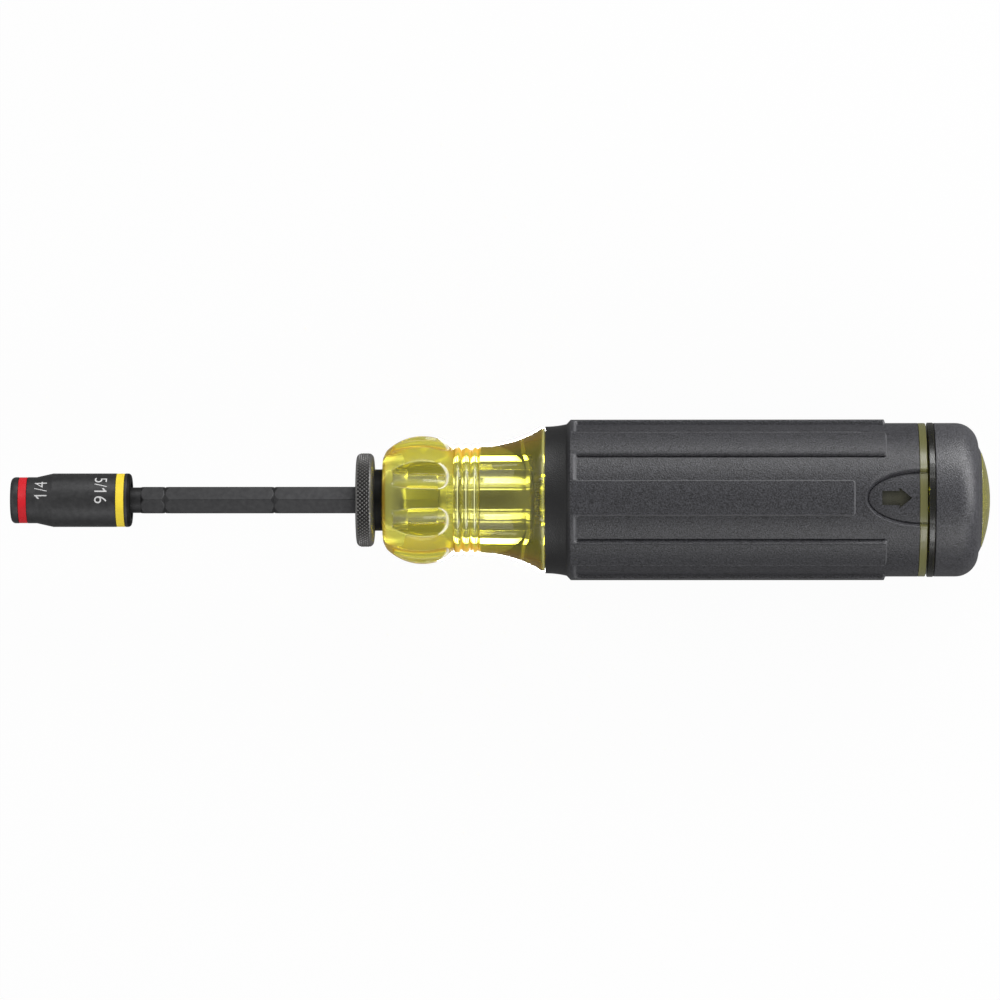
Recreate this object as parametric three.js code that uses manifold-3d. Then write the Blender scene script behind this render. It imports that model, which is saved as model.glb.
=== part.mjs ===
// Multi-bit screwdriver: a hex shaft of adjustable length in a quick-release chuck, with a flip
// socket on its tip, a translucent handle with a rubber grip, and a turning cap that lets out
// one stored bit at a time.
// Millimetres. The tool lies along X with its socket towards -X, and +Z is up.
// Stations are distances along the axis from the handle's nose face, positive towards the cap.
import * as THREE from 'three';
import { mergeVertices } from 'three/addons/utils/BufferGeometryUtils.js';
import Module from 'manifold-3d';

const wasm = await Module();
wasm.setup();

// Clearances
const slideFit = 0.1; // between pieces that slide or turn on each other
const seatGap = 0.1; // between faces that rest on each other
const passGap = 0.3; // between pieces that only pass each other
const cutOver = 1; // how far a cutter runs past the face it opens

// Smoothness of round surfaces
const roundSides = 40;
const smallSides = 24;
const tinySides = 12;
const arcSteps = 8;

// Hex shaft
const shaftAcrossFlats = 6.35;
const lockPitch = 26.5;
const locksEachWay = 2;
const hexLead = 5.8; // hex in front of the first lock groove
const hexTail = 10.8; // hex behind the last one
const grooveDepth = 0.25; // below the flats
const grooveWidth = 1.9; // at the corners
const neckRadius = 3.1;
const neckShows = 2.35; // bare neck between the socket and the hex
const hexChamfer = 0.8;

// Flip socket
const socketLength = 29.25;
const smallEndRadius = 5.6;
const largeEndRadius = 6.5;
const smallEndLength = 6.2;
const taperLength = 4;
const smallHexFlats = 6.5; // takes quarter-inch hex
const largeHexFlats = 8.1; // takes five-sixteenths hex
const hexRecessDepth = 9.5;
const driveHexFlats = 5.1;
const socketEdgeRound = 1.1;
const tipSetBack = 1.4; // shaft tip behind the floor of the small recess
const bandWidth = 2.3;
const redBandInset = 1.8; // from the socket's front end
const yellowBandInset = 1.35; // from its rear end
const bandDepth = 0.4;
const ringWire = 0.4;
const ringWidth = 0.7;
const ringSplit = 0.8;

// Chuck and release collar
const ballDiameter = 2;
const ballClear = 0.025; // ball to shaft flat
const shankFlats = 8.8;
const shankLength = 5.9;
const noseBoreDepth = 6.5;
const collarRadius = 11.37;
const collarWidth = 4.25;
const collarToNose = 2.2;
const collarChamfer = 0.8;
const skirtRadius = 7.45;
const skirtReach = 1.7; // into the nose
const reliefStep = 0.75; // relief round the ball, beyond the sliding bore
const reliefLength = 4.1;
const trapLead = 0.2; // sliding bore in front of the ball
const snapRingWidth = 0.55;
const snapRingHeight = 1.1;
const snapRingBite = 0.3; // depth of the ring's groove in the barrel
const snapRingSetBack = 0.5; // from the chuck's front end
const springWire = 0.8;
const springTurns = 3;

// Handle core
const noseFaceRadius = 10.1;
const noseEdge = 0.9;
const bulbRadius = 15.5;
const bulbStation = 9.6;
const bulbArcRadius = 12.5;
const fluteCount = 8;
const fluteRadius = 5.2;
const fluteFrontFloor = 13.6;
const fluteRearFloor = 12.5;
const fluteFront = 3;
const fluteRear = 15.7;
const ribCount = 3;
const ribStart = 17.3;
const ribPitch = 2.05;
const ribValley = 12.7;
const ribHeight = 0.55;
const flareRadius = 13.25; // where the flare leaves the ribs
const lipStation = 38.2;
const lipRadius = 17.5;
const lipWidth = 1.1;
const coreRadius = 16.75;
const rimRadius = 18.6;
const rimWidth = 1.8;
const tunnelRadius = 4.25;
const tubeWall = 0.35; // of the guide tube that lines the tunnel
const tunnelEnd = 118.2;
const sleeveRadius = 7.45; // the steel sleeve that is moulded into the neck
const sleeveFront = 16;
const sleeveShort = 1.9; // from the sleeve's end to the lip

// Rubber grip
const gripLength = 90;
const gripFrontRadius = 17.8;
const gripStepRadius = 18.4;
const gripFrontLength = 5.1;
const gripStepLength = 1;
const gripBandLength = 1.1;
const landCount = 8;
const landRadius = 19.47;
const landHalfAngle = 11.5;
const landFlatHalfAngle = 7.5;
const landLength = 74.9;
const tailRadius = 18.6;
const plateShort = 7.7; // the top land stops this far before the others
const thumbLength = 13;
const thumbHalfHeight = 6.7;
const thumbFloorRadius = 17.9;
const arrowSetBack = 1.8; // from the grip's rear end to the arrow's tip
const arrowHeadLength = 3.1;
const arrowShaftLength = 4.1;
const arrowShaftHeight = 3.4;
const arrowHeadHeight = 5;

// Stored bits
const bitAcrossFlats = 6.35;
const bitLength = 50;
const bitTipLength = 12;
const bitCircleRadius = 11.6;
const bitCount = 6;
const bitSetBack = 2; // below the handle's rear face
const bitNeckRadius = 2.3;
const bitNeckLength = 8;

// Turning cap
const capGap = 0.4;
const capRingRadius = 18.7;
const capRingLength = 1.5;
const capCoreRadius = 16.8;
const capCoreLength = 9.8;
const capGripRadius = 18.6;
const capCornerStation = 6.9;
const capCornerRadius = 5.5;
const hubRadius = 11.5;
const hubShoulder = 13.25;
const hubRise = 2.1;
const plugRadius = 4.4;
const plugLength = 2.9;
const screwSeat = 9.2; // the screw's washer seat behind the cap's front
const screwRadius = 1.5;
const screwHeadRadius = 2.8;
const screwHeadHeight = 2;
const screwReach = 8; // thread in the handle
const washerRadius = 4.1;
const washerWidth = 0.7;
const detentCircleRadius = 5.8;
const detentStops = 12;
const detentAngle = 90;
const detentBallDiameter = 2;
const detentRise = 0.95; // ball above the handle's rear face
const detentSpringLength = 5.2;
const detentSpringWire = 0.3;
const detentSpringTurns = 5;

// Places that follow from these sizes
const hexFront = -(locksEachWay * lockPitch + hexLead);
const hexRear = locksEachWay * lockPitch + hexTail;
const socketRear = hexFront - neckShows;
const socketFront = socketRear - socketLength;
const barrelRadius = shaftAcrossFlats / 2 + ballClear + ballDiameter;
const barrelFront = -(collarToNose + collarWidth);
const gripStart = lipStation + lipWidth + seatGap;
const landStart = gripStart + gripFrontLength + gripStepLength + gripBandLength;
const landEnd = landStart + landLength;
const plateEnd = landEnd - plateShort;
const gripEnd = gripStart + gripLength;
const arrowTipStation = gripEnd - arrowSetBack;
const arrowNeckStation = arrowTipStation - arrowHeadLength;
const arrowTailStation = arrowNeckStation - arrowShaftLength;
const rearFace = gripEnd + seatGap + rimWidth;
const capFront = rearFace + capGap;
const bitBoreRadius = bitAcrossFlats / Math.sqrt(3) + passGap;
const hubApex = hubShoulder + hubRise;
const domeRadius = (hubRadius ** 2 + hubRise ** 2) / (2 * hubRise);
const screwPilotRadius = screwRadius + slideFit;
const detentBoreRadius = detentBallDiameter / 2 + slideFit;
const fullTurn = 2 * Math.PI;
const radians = THREE.MathUtils.degToRad;

// Materials
const black = new THREE.MeshStandardMaterial({ color: 0x2b2c2e, roughness: 0.45, metalness: 0.8 });
const steel = new THREE.MeshStandardMaterial({ color: 0xb9bcc0, roughness: 0.3, metalness: 1 });
const acetate = new THREE.MeshStandardMaterial({ color: 0xd9c52e, roughness: 0.12, metalness: 0 });
const rubber = new THREE.MeshStandardMaterial({ color: 0x3c3d41, roughness: 0.8, metalness: 0 });
const redPaint = new THREE.MeshStandardMaterial({ color: 0xd8232e, roughness: 0.4, metalness: 0 });
const yellowPaint = new THREE.MeshStandardMaterial({ color: 0xf5d93a, roughness: 0.4, metalness: 0 });

// A closed geometry as a solid that can be cut and joined.
function solidOf(geometry) {
  const bare = geometry.clone();
  bare.deleteAttribute('normal');
  bare.deleteAttribute('uv');
  const merged = mergeVertices(bare);
  const corners = merged.index.array;
  const kept = [];
  for (let i = 0; i < corners.length; i += 3) {
    const [a, b, c] = [corners[i], corners[i + 1], corners[i + 2]];
    if (a !== b && b !== c && c !== a) kept.push(a, b, c);
  }
  return new wasm.Manifold(new wasm.Mesh({
    numProp: 3,
    vertProperties: merged.attributes.position.array,
    triVerts: new Uint32Array(kept),
  }));
}

function geometryOf(solid) {
  const mesh = solid.getMesh();
  const geometry = new THREE.BufferGeometry();
  geometry.setAttribute('position', new THREE.BufferAttribute(mesh.vertProperties, 3));
  geometry.setIndex(new THREE.BufferAttribute(mesh.triVerts, 1));
  return geometry;
}

function cut(stock, ...tools) {
  return geometryOf(tools.reduce((rest, tool) => rest.subtract(solidOf(tool)), solidOf(stock)));
}

function joined(first, ...others) {
  return geometryOf(others.reduce((sum, other) => sum.add(solidOf(other)), solidOf(first)));
}

function common(first, second) {
  return geometryOf(solidOf(first).intersect(solidOf(second)));
}

// A turned piece: the profile lists [station, radius] along the outside towards the cap, and
// a bored one comes back along the inside to its first point.
function turned(profile, sides = roundSides) {
  const points = profile.map(([station, radius]) => new THREE.Vector2(radius, station));
  return new THREE.LatheGeometry(points, sides).rotateZ(-Math.PI / 2);
}

function ring(from, to, inner, outer, sides = roundSides) {
  return turned([[from, inner], [from, outer], [to, outer], [to, inner], [from, inner]], sides);
}

function rod(from, to, radius, sides = roundSides) {
  return turned([[from, 0], [from, radius], [to, radius], [to, 0]], sides);
}

// Points [station, radius] of an arc about a centre, the angles being from the +X direction.
function arc(station, radius, size, fromDegrees, toDegrees, steps = arcSteps) {
  return Array.from({ length: steps + 1 }, (_, i) => {
    const angle = radians(fromDegrees + (toDegrees - fromDegrees) * i / steps);
    return [station + size * Math.cos(angle), radius + size * Math.sin(angle)];
  });
}

function shapeOf(outline) {
  return new THREE.Shape(outline.map(([u, v]) => new THREE.Vector2(u, v)));
}

// An outline of [y, z] points drawn out along X.
function bar(shape, from, to) {
  const drawn = new THREE.ExtrudeGeometry(shape, { depth: to - from, bevelEnabled: false });
  const alongX = new THREE.Matrix4().set(0, 0, 1, from, 1, 0, 0, 0, 0, 1, 0, 0, 0, 0, 0, 1);
  return drawn.applyMatrix4(alongX);
}

// An outline of [x, y] points drawn up along Z.
function plate(shape, bottom, top) {
  const drawn = new THREE.ExtrudeGeometry(shape, {
    depth: top - bottom,
    bevelEnabled: false,
    curveSegments: smallSides,
  });
  return drawn.translate(0, 0, bottom);
}

// A regular outline with one corner straight up.
function polygon(count, acrossFlats) {
  const corner = acrossFlats / 2 / Math.cos(Math.PI / count);
  return shapeOf(Array.from({ length: count }, (_, i) => {
    const angle = Math.PI / 2 + fullTurn * i / count;
    return [corner * Math.cos(angle), corner * Math.sin(angle)];
  }));
}

function hexBar(acrossFlats, from, to) {
  return bar(polygon(6, acrossFlats), from, to);
}

function ball(diameter) {
  return new THREE.SphereGeometry(diameter / 2, tinySides, arcSteps);
}

// Copies of a piece made at the top of the tool, turned about the axis by equal steps.
function around(count, build, firstAngle = 0) {
  return Array.from({ length: count }, (_, i) => build().rotateX(radians(firstAngle) + fullTurn * i / count));
}

// A round-wire spring about the X axis from one station to another.
class Helix extends THREE.Curve {
  constructor(from, to, radius, turns) {
    super();
    Object.assign(this, { from, to, radius, turns });
  }

  getPoint(t, target = new THREE.Vector3()) {
    const angle = fullTurn * this.turns * t;
    const station = THREE.MathUtils.lerp(this.from, this.to, t);
    return target.set(station, this.radius * Math.sin(angle), this.radius * Math.cos(angle));
  }
}

function spring(from, to, radius, wire, turns) {
  const path = new Helix(from + wire / 2, to - wire / 2, radius, turns);
  const section = polygon(6, wire);
  const steps = turns * tinySides;
  const coil = new THREE.ExtrudeGeometry(section, { steps, extrudePath: path, bevelEnabled: false });
  const leastGap = (to - from - wire) / turns - wire;
  console.log(`spring wire ${wire}: gap between turns ${leastGap.toFixed(2)} mm`);
  return geometryOf(solidOf(coil));
}

// Hex shaft with its lock grooves, round neck and drive tip
const webRear = socketRear - hexRecessDepth;
const webFront = socketFront + hexRecessDepth;
const tipFront = webFront + tipSetBack;
const ringStation = (webFront + webRear) / 2;

function lockGroove(station) {
  const corner = shaftAcrossFlats / Math.sqrt(3);
  const floor = shaftAcrossFlats / 2 - grooveDepth;
  const outer = corner + cutOver;
  const halfAtOuter = grooveWidth / 2 * (outer - floor) / (corner - floor);
  return turned([
    [station, floor], [station - halfAtOuter, outer], [station + halfAtOuter, outer], [station, floor],
  ], tinySides);
}

function hexShaft() {
  const corner = shaftAcrossFlats / Math.sqrt(3);
  const turnedEnds = turned([
    [hexFront, 0], [hexFront, neckRadius], [hexFront + hexChamfer, corner + slideFit],
    [hexRear - hexChamfer, corner + slideFit], [hexRear, neckRadius], [hexRear, 0],
  ], tinySides);
  const hex = common(hexBar(shaftAcrossFlats, hexFront, hexRear), turnedEnds);
  const neck = rod(webRear + seatGap, hexFront + hexChamfer, neckRadius, smallSides);
  const tip = hexBar(driveHexFlats - 2 * slideFit, tipFront, webRear + 2 * seatGap);
  const lockStations = Array.from({ length: 2 * locksEachWay + 1 }, (_, i) => (i - locksEachWay) * lockPitch);
  const ringGroove = ring(
    ringStation - ringWidth / 2 - seatGap,
    ringStation + ringWidth / 2 + seatGap,
    driveHexFlats / 2 - 2 * slideFit - ringWire,
    driveHexFlats,
    smallSides,
  );
  return cut(joined(hex, neck, tip), ...lockStations.map(lockGroove), ringGroove);
}

function socketRing() {
  const outer = driveHexFlats / 2 - slideFit / 2;
  const whole = ring(ringStation - ringWidth / 2, ringStation + ringWidth / 2, outer - ringWire, outer, smallSides);
  const split = bar(shapeOf([
    [-ringSplit / 2, 0], [ringSplit / 2, 0], [ringSplit / 2, driveHexFlats], [-ringSplit / 2, driveHexFlats],
  ]), ringStation - ringWidth, ringStation + ringWidth);
  return cut(whole, split);
}

// Flip socket and its colour bands
const redBandFront = socketFront + redBandInset;
const yellowBandFront = socketRear - yellowBandInset - bandWidth;

function bandSeat(from, outer) {
  return ring(from, from + bandWidth, outer - bandDepth, outer + cutOver, smallSides);
}

function flipSocket() {
  const edge = socketEdgeRound;
  const taperFront = socketFront + smallEndLength;
  const body = turned([
    [socketFront, 0],
    ...arc(socketFront + edge, smallEndRadius - edge, edge, 180, 90, arcSteps / 2),
    [taperFront, smallEndRadius],
    [taperFront + taperLength, largeEndRadius],
    ...arc(socketRear - edge, largeEndRadius - edge, edge, 90, 0, arcSteps / 2),
    [socketRear, 0],
  ], smallSides);
  return cut(
    body,
    hexBar(smallHexFlats, socketFront - cutOver, webFront),
    hexBar(driveHexFlats, webFront - cutOver, webRear + cutOver),
    hexBar(largeHexFlats, webRear, socketRear + cutOver),
    bandSeat(redBandFront, smallEndRadius),
    bandSeat(yellowBandFront, largeEndRadius),
  );
}

function colourBand(front, outer) {
  const inner = outer - bandDepth + seatGap / 2;
  return ring(front + seatGap, front + bandWidth - seatGap, inner, outer, smallSides);
}

// Chuck: barrel with a hex bore, a hole for the lock ball and a keyed shank
const boreFlats = shaftAcrossFlats + 2 * slideFit + ballClear;
const collarBore = barrelRadius + slideFit + seatGap / 2;
const snapRingFront = barrelFront + snapRingSetBack;
const snapRingRear = snapRingFront + snapRingWidth;
const snapRingFloor = barrelRadius - snapRingBite;
const shankEnd = noseBoreDepth + shankLength;

function chuckBody() {
  const barrel = rod(barrelFront, noseBoreDepth - seatGap, barrelRadius, smallSides);
  const shank = hexBar(shankFlats, noseBoreDepth - cutOver, shankEnd);
  const ballHole = new THREE.CylinderGeometry(
    ballDiameter / 2 + slideFit,
    ballDiameter / 2 + slideFit,
    barrelRadius + cutOver,
    tinySides,
  ).translate(0, (barrelRadius + cutOver) / 2, 0);
  return cut(
    joined(barrel, shank),
    hexBar(boreFlats, barrelFront - cutOver, shankEnd + cutOver),
    ring(snapRingFront - seatGap / 2, snapRingRear + seatGap / 2, snapRingFloor, barrelRadius + cutOver, smallSides),
    ballHole,
  );
}

function lockBall() {
  const height = shaftAcrossFlats / 2 + ballClear + ballDiameter / 2;
  return ball(ballDiameter).translate(0, height, 0);
}

function snapRing() {
  const inner = snapRingFloor + seatGap / 2;
  return ring(snapRingFront, snapRingRear, inner, inner + snapRingHeight, smallSides);
}

function releaseCollar() {
  const discRear = -collarToNose;
  const rimInner = collarRadius - collarChamfer;
  const lipFace = snapRingRear + seatGap;
  const reliefRear = -trapLead;
  const reliefFront = reliefRear - reliefLength;
  const relief = collarBore + reliefStep;
  const ringPocket = snapRingFloor + snapRingHeight + passGap;
  return turned([
    [barrelFront, ringPocket],
    [barrelFront, rimInner],
    [barrelFront + collarChamfer, collarRadius],
    [discRear - collarChamfer, collarRadius],
    [discRear, rimInner],
    [discRear, skirtRadius],
    [skirtReach, skirtRadius],
    [skirtReach, collarBore],
    [reliefRear, collarBore],
    [reliefRear, relief],
    [reliefFront, relief],
    [reliefFront, collarBore],
    [lipFace, collarBore],
    [lipFace, ringPocket],
    [barrelFront, ringPocket],
  ]);
}

function collarSpring() {
  const radius = (barrelRadius + skirtRadius) / 2;
  return spring(skirtReach + seatGap, noseBoreDepth - seatGap, radius, springWire, springTurns);
}

// Handle core: fluted bulb, ring ribs, flare, and the bores behind the grip
function bulbProfile() {
  const centre = bulbRadius - bulbArcRadius;
  const angleAt = (station) => THREE.MathUtils.radToDeg(Math.acos((station - bulbStation) / bulbArcRadius));
  return arc(bulbStation, centre, bulbArcRadius, angleAt(noseEdge), angleAt(ribStart));
}

function ribProfile() {
  const steps = arcSteps / 2;
  return Array.from({ length: ribCount * steps + 1 }, (_, i) => [
    ribStart + ribPitch * i / steps,
    ribValley + ribHeight * Math.abs(Math.sin(Math.PI * i / steps)),
  ]);
}

function flareProfile() {
  const start = ribStart + ribPitch * ribCount;
  const length = lipStation - start;
  const rise = lipRadius - flareRadius;
  const bend = (length ** 2 + rise ** 2) / (2 * rise);
  const endAngle = THREE.MathUtils.radToDeg(Math.asin(length / bend));
  return arc(start, flareRadius + bend, bend, -90, -90 + endAngle);
}

function flute() {
  const length = fluteRear - fluteFront;
  const tilt = Math.atan2(fluteFrontFloor - fluteRearFloor, length);
  const cutter = rod(-2 * length, 0, fluteRadius, smallSides);
  return cutter.rotateY(tilt).translate(fluteRear, 0, fluteRearFloor + fluteRadius);
}

// The space above the thumb rest, from its round front end out over the handle's rear rim
function thumbSpace() {
  const open = gripEnd + passGap;
  const outline = new THREE.Shape();
  outline.moveTo(open + thumbLength, -thumbHalfHeight);
  outline.lineTo(open + thumbLength, thumbHalfHeight);
  outline.lineTo(open, thumbHalfHeight);
  outline.absellipse(open, 0, thumbLength, thumbHalfHeight, Math.PI / 2, 1.5 * Math.PI, false);
  outline.closePath();
  const column = plate(outline, 0, landRadius + cutOver);
  return cut(column, rod(0, open + 2 * thumbLength, thumbFloorRadius));
}

function bitBore() {
  const bore = rod(rearFace - bitSetBack - bitLength - seatGap, rearFace + cutOver, bitBoreRadius, smallSides);
  return bore.translate(0, 0, bitCircleRadius);
}

function detentBore() {
  const depth = detentSpringLength + detentBallDiameter - detentRise + 2 * seatGap;
  const bore = rod(rearFace - depth, rearFace + cutOver, detentBoreRadius, tinySides);
  return bore.translate(0, 0, detentCircleRadius).rotateX(radians(detentAngle));
}

function handleCore() {
  const body = turned([
    [0, 0],
    [0, noseFaceRadius],
    ...bulbProfile(),
    ...ribProfile(),
    ...flareProfile(),
    [lipStation + lipWidth, lipRadius],
    [lipStation + lipWidth, coreRadius],
    [rearFace - rimWidth, coreRadius],
    [rearFace - rimWidth, rimRadius],
    [rearFace, rimRadius],
    [rearFace, 0],
  ]);
  return cut(
    body,
    ...around(fluteCount, flute, 180 / fluteCount),
    rod(-cutOver, noseBoreDepth, skirtRadius + passGap),
    hexBar(shankFlats + 2 * slideFit, noseBoreDepth - cutOver, shankEnd + seatGap),
    rod(shankEnd - cutOver, tunnelEnd, tunnelRadius, smallSides),
    rod(sleeveFront - seatGap, lipStation - sleeveShort + seatGap, sleeveRadius + seatGap),
    rod(rearFace - screwReach - passGap, rearFace + cutOver, screwPilotRadius, tinySides),
    ...around(bitCount, bitBore),
    detentBore(),
    thumbSpace(),
  );
}

// Guide tube that lines the tunnel behind the chuck
function guideTube() {
  const outer = tunnelRadius - seatGap;
  return ring(shankEnd + 2 * seatGap, tunnelEnd - seatGap, outer - tubeWall, outer, smallSides);
}

// Polished steel sleeve in the neck, round the guide tube
function neckSleeve() {
  return ring(sleeveFront, lipStation - sleeveShort, tunnelRadius, sleeveRadius);
}

// Rubber grip: a tapered front band, eight flat-topped lands, and a plain tail
function landOutline() {
  const pitch = 360 / landCount;
  const facet = 2 * landFlatHalfAngle;
  const points = [];
  for (let i = 0; i < landCount; i += 1) {
    const middle = 90 + pitch * i;
    for (const turn of [-landHalfAngle, -landFlatHalfAngle, landFlatHalfAngle, landHalfAngle]) {
      const fromFacet = Math.abs(turn) > landFlatHalfAngle ? facet - Math.abs(turn) : landFlatHalfAngle;
      points.push([middle + turn, landRadius / Math.cos(radians(fromFacet))]);
    }
    for (const turn of [landHalfAngle, pitch / 2, pitch - landHalfAngle]) {
      points.push([middle + turn, tailRadius]);
    }
  }
  const outline = shapeOf(points.map(([angle, radius]) => [
    radius * Math.cos(radians(angle)), radius * Math.sin(radians(angle)),
  ]));
  const hole = new THREE.Path();
  hole.absarc(0, 0, coreRadius + seatGap, 0, fullTurn, true);
  outline.holes.push(new THREE.Path(hole.getPoints(roundSides)));
  return outline;
}

function arrowShape() {
  const shaft = arrowShaftHeight / 2;
  const head = arrowHeadHeight / 2;
  return shapeOf([
    [arrowTailStation, -shaft], [arrowNeckStation, -shaft], [arrowNeckStation, -head],
    [arrowTipStation, 0],
    [arrowNeckStation, head], [arrowNeckStation, shaft], [arrowTailStation, shaft],
  ]);
}

function gripSleeve() {
  const inner = coreRadius + seatGap;
  const stepStart = gripStart + gripFrontLength;
  const bandStart = stepStart + gripStepLength;
  const front = turned([
    [gripStart, inner],
    [gripStart, gripFrontRadius],
    [stepStart, gripStepRadius],
    [bandStart, landRadius],
    [landStart, landRadius],
    [landStart, inner],
    [gripStart, inner],
  ]);
  const lands = bar(landOutline(), landStart, landEnd);
  const tail = ring(landEnd, gripEnd, inner, tailRadius);
  const plateHalf = landRadius * Math.tan(radians(180 / landCount));
  const afterPlate = cut(plate(shapeOf([
    [plateEnd, -plateHalf], [landEnd, -plateHalf], [landEnd, plateHalf], [plateEnd, plateHalf],
  ]), 0, landRadius + cutOver), rod(0, rearFace, tailRadius));
  const arrow = plate(arrowShape(), tunnelRadius, landRadius + cutOver);
  return cut(joined(front, lands, tail), afterPlate, thumbSpace(), arrow);
}

// Turning cap: stations here are from the cap's front face
function domeStation(radius) {
  return hubApex - domeRadius + Math.sqrt(domeRadius ** 2 - radius ** 2);
}

function domeProfile(fromRadius, toRadius) {
  return Array.from({ length: arcSteps + 1 }, (_, i) => {
    const radius = THREE.MathUtils.lerp(fromRadius, toRadius, i / arcSteps);
    return [domeStation(radius), radius];
  });
}

function bitOutlet() {
  const outlet = rod(-cutOver, hubApex + cutOver, bitBoreRadius + slideFit, smallSides);
  return outlet.translate(0, 0, -bitCircleRadius);
}

function detentDimple() {
  const ballCentre = detentRise - detentBallDiameter / 2 - capGap;
  return ball(detentBallDiameter + 2 * slideFit).translate(ballCentre, 0, detentCircleRadius);
}

function capCore() {
  const plugBore = plugRadius + slideFit;
  const body = turned([
    [0, screwPilotRadius],
    [0, capRingRadius],
    [capRingLength, capRingRadius],
    [capRingLength, capCoreRadius],
    [capCoreLength, capCoreRadius],
    [capCoreLength, hubRadius],
    ...domeProfile(hubRadius, plugBore),
    [screwSeat, plugBore],
    [screwSeat, screwPilotRadius],
    [0, screwPilotRadius],
  ]);
  return cut(body, bitOutlet(), ...around(detentStops, detentDimple));
}

function capGrip() {
  const inner = capCoreRadius + seatGap;
  const mouth = hubRadius + seatGap;
  const body = turned([
    [capRingLength + seatGap, inner],
    [capRingLength + seatGap, capGripRadius],
    ...arc(capCornerStation, capGripRadius - capCornerRadius, capCornerRadius, 90, 0),
    [hubShoulder - seatGap, mouth],
    [capCoreLength + seatGap, mouth],
    [capCoreLength + seatGap, inner],
    [capRingLength + seatGap, inner],
  ]);
  return cut(body, bitOutlet());
}

function capPlug() {
  const bottom = hubApex - plugLength;
  return turned([[bottom, 0], [bottom, plugRadius], ...domeProfile(plugRadius, 0)], smallSides);
}

function capWasher() {
  return ring(screwSeat + seatGap, screwSeat + seatGap + washerWidth, screwPilotRadius, washerRadius, smallSides);
}

function capScrew() {
  const headFront = screwSeat + washerWidth + 2 * seatGap;
  const headRear = headFront + screwHeadHeight;
  const body = turned([
    [-capGap - screwReach, 0],
    [-capGap - screwReach, screwRadius],
    [headFront, screwRadius],
    [headFront, screwHeadRadius],
    [headRear, screwHeadRadius],
    [headRear, 0],
  ], tinySides);
  const slot = hexBar(screwRadius * 2, headRear - screwHeadHeight / 2, headRear + cutOver);
  return cut(body, slot);
}

function detentBall() {
  const centre = rearFace + detentRise - detentBallDiameter / 2;
  return ball(detentBallDiameter).translate(centre, 0, detentCircleRadius).rotateX(radians(detentAngle));
}

function detentSpring() {
  const end = rearFace + detentRise - detentBallDiameter - seatGap;
  const radius = detentBallDiameter / 2 - detentSpringWire / 2 - slideFit / 2;
  const coil = spring(end - detentSpringLength, end, radius, detentSpringWire, detentSpringTurns);
  return coil.translate(0, 0, detentCircleRadius).rotateX(radians(detentAngle));
}

// Double-ended bits: each tip is drawn along +X from the end of the hex
function bitNeck() {
  const hexFlat = bitAcrossFlats / 2;
  return turned([
    [-cutOver, 0], [-cutOver, hexFlat], [0, hexFlat],
    [hexFlat - bitNeckRadius, bitNeckRadius], [bitNeckLength, bitNeckRadius], [bitNeckLength, 0],
  ], tinySides);
}

function crossTip(wing) {
  const stock = turned([
    [bitNeckLength - cutOver, 0], [bitNeckLength - cutOver, bitNeckRadius], [bitNeckLength, wing],
    [bitTipLength, wing / 4], [bitTipLength, 0],
  ], tinySides);
  const web = wing / 4;
  const reach = 2 * bitNeckRadius;
  const groove = () => bar(shapeOf([[web, web], [reach, web], [reach, reach], [web, reach]]),
    bitNeckLength - wing / 2, bitTipLength + cutOver);
  return joined(bitNeck(), cut(stock, ...around(4, groove)));
}

function slotTip(width, thickness) {
  const stock = rod(bitNeckLength - cutOver, bitTipLength, width / 2, tinySides);
  const root = bitNeckRadius;
  const edge = thickness / 2;
  const wedge = plate(shapeOf([
    [bitNeckLength - cutOver, -root], [bitTipLength - cutOver, -edge], [bitTipLength, -edge],
    [bitTipLength, edge], [bitTipLength - cutOver, edge], [bitNeckLength - cutOver, root],
  ]), -width, width);
  return joined(bitNeck(), common(stock, wedge));
}

function squareTip(side) {
  return joined(bitNeck(), bar(polygon(4, side), bitNeckLength - cutOver, bitTipLength));
}

function starTip(radius) {
  const lobes = 6;
  const outline = shapeOf(Array.from({ length: 4 * lobes }, (_, i) => {
    const angle = fullTurn * i / (4 * lobes);
    const reach = radius * (0.86 + 0.14 * Math.cos(lobes * angle));
    return [reach * Math.cos(angle), reach * Math.sin(angle)];
  }));
  return joined(bitNeck(), bar(outline, bitNeckLength - cutOver, bitTipLength));
}

function storedBit(frontTip, rearTip) {
  const half = bitLength / 2;
  const hexHalf = half - bitTipLength;
  const hex = hexBar(bitAcrossFlats, -hexHalf, hexHalf);
  return joined(
    hex,
    frontTip.translate(hexHalf, 0, 0).rotateY(Math.PI),
    rearTip.translate(hexHalf, 0, 0),
  );
}

const bitSet = [
  ['bit_cross_large', storedBit(crossTip(2.2), slotTip(4.4, 0.8))],
  ['bit_slotted', storedBit(slotTip(4, 0.7), slotTip(4.5, 1))],
  ['bit_square', storedBit(squareTip(2.3), squareTip(2.8))],
  ['bit_cross_small', storedBit(crossTip(1.6), crossTip(2))],
  ['bit_star_small', storedBit(starTip(1.4), starTip(1.65))],
  ['bit_star_large', storedBit(starTip(1.95), starTip(2.25))],
];

// Assembly
function piece(name, geometry, material) {
  geometry.computeVertexNormals();
  const mesh = new THREE.Mesh(geometry, material);
  mesh.name = name;
  return mesh;
}

function assembly(name, ...members) {
  const whole = new THREE.Group();
  whole.name = name;
  members.forEach((member) => whole.add(member));
  return whole;
}

const drive = assembly(
  'drive',
  piece('hex_shaft', hexShaft(), black),
  piece('socket_retaining_ring', socketRing(), steel),
  piece('flip_socket', flipSocket(), black),
  piece('socket_band_red', colourBand(redBandFront, smallEndRadius), redPaint),
  piece('socket_band_yellow', colourBand(yellowBandFront, largeEndRadius), yellowPaint),
);

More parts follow.
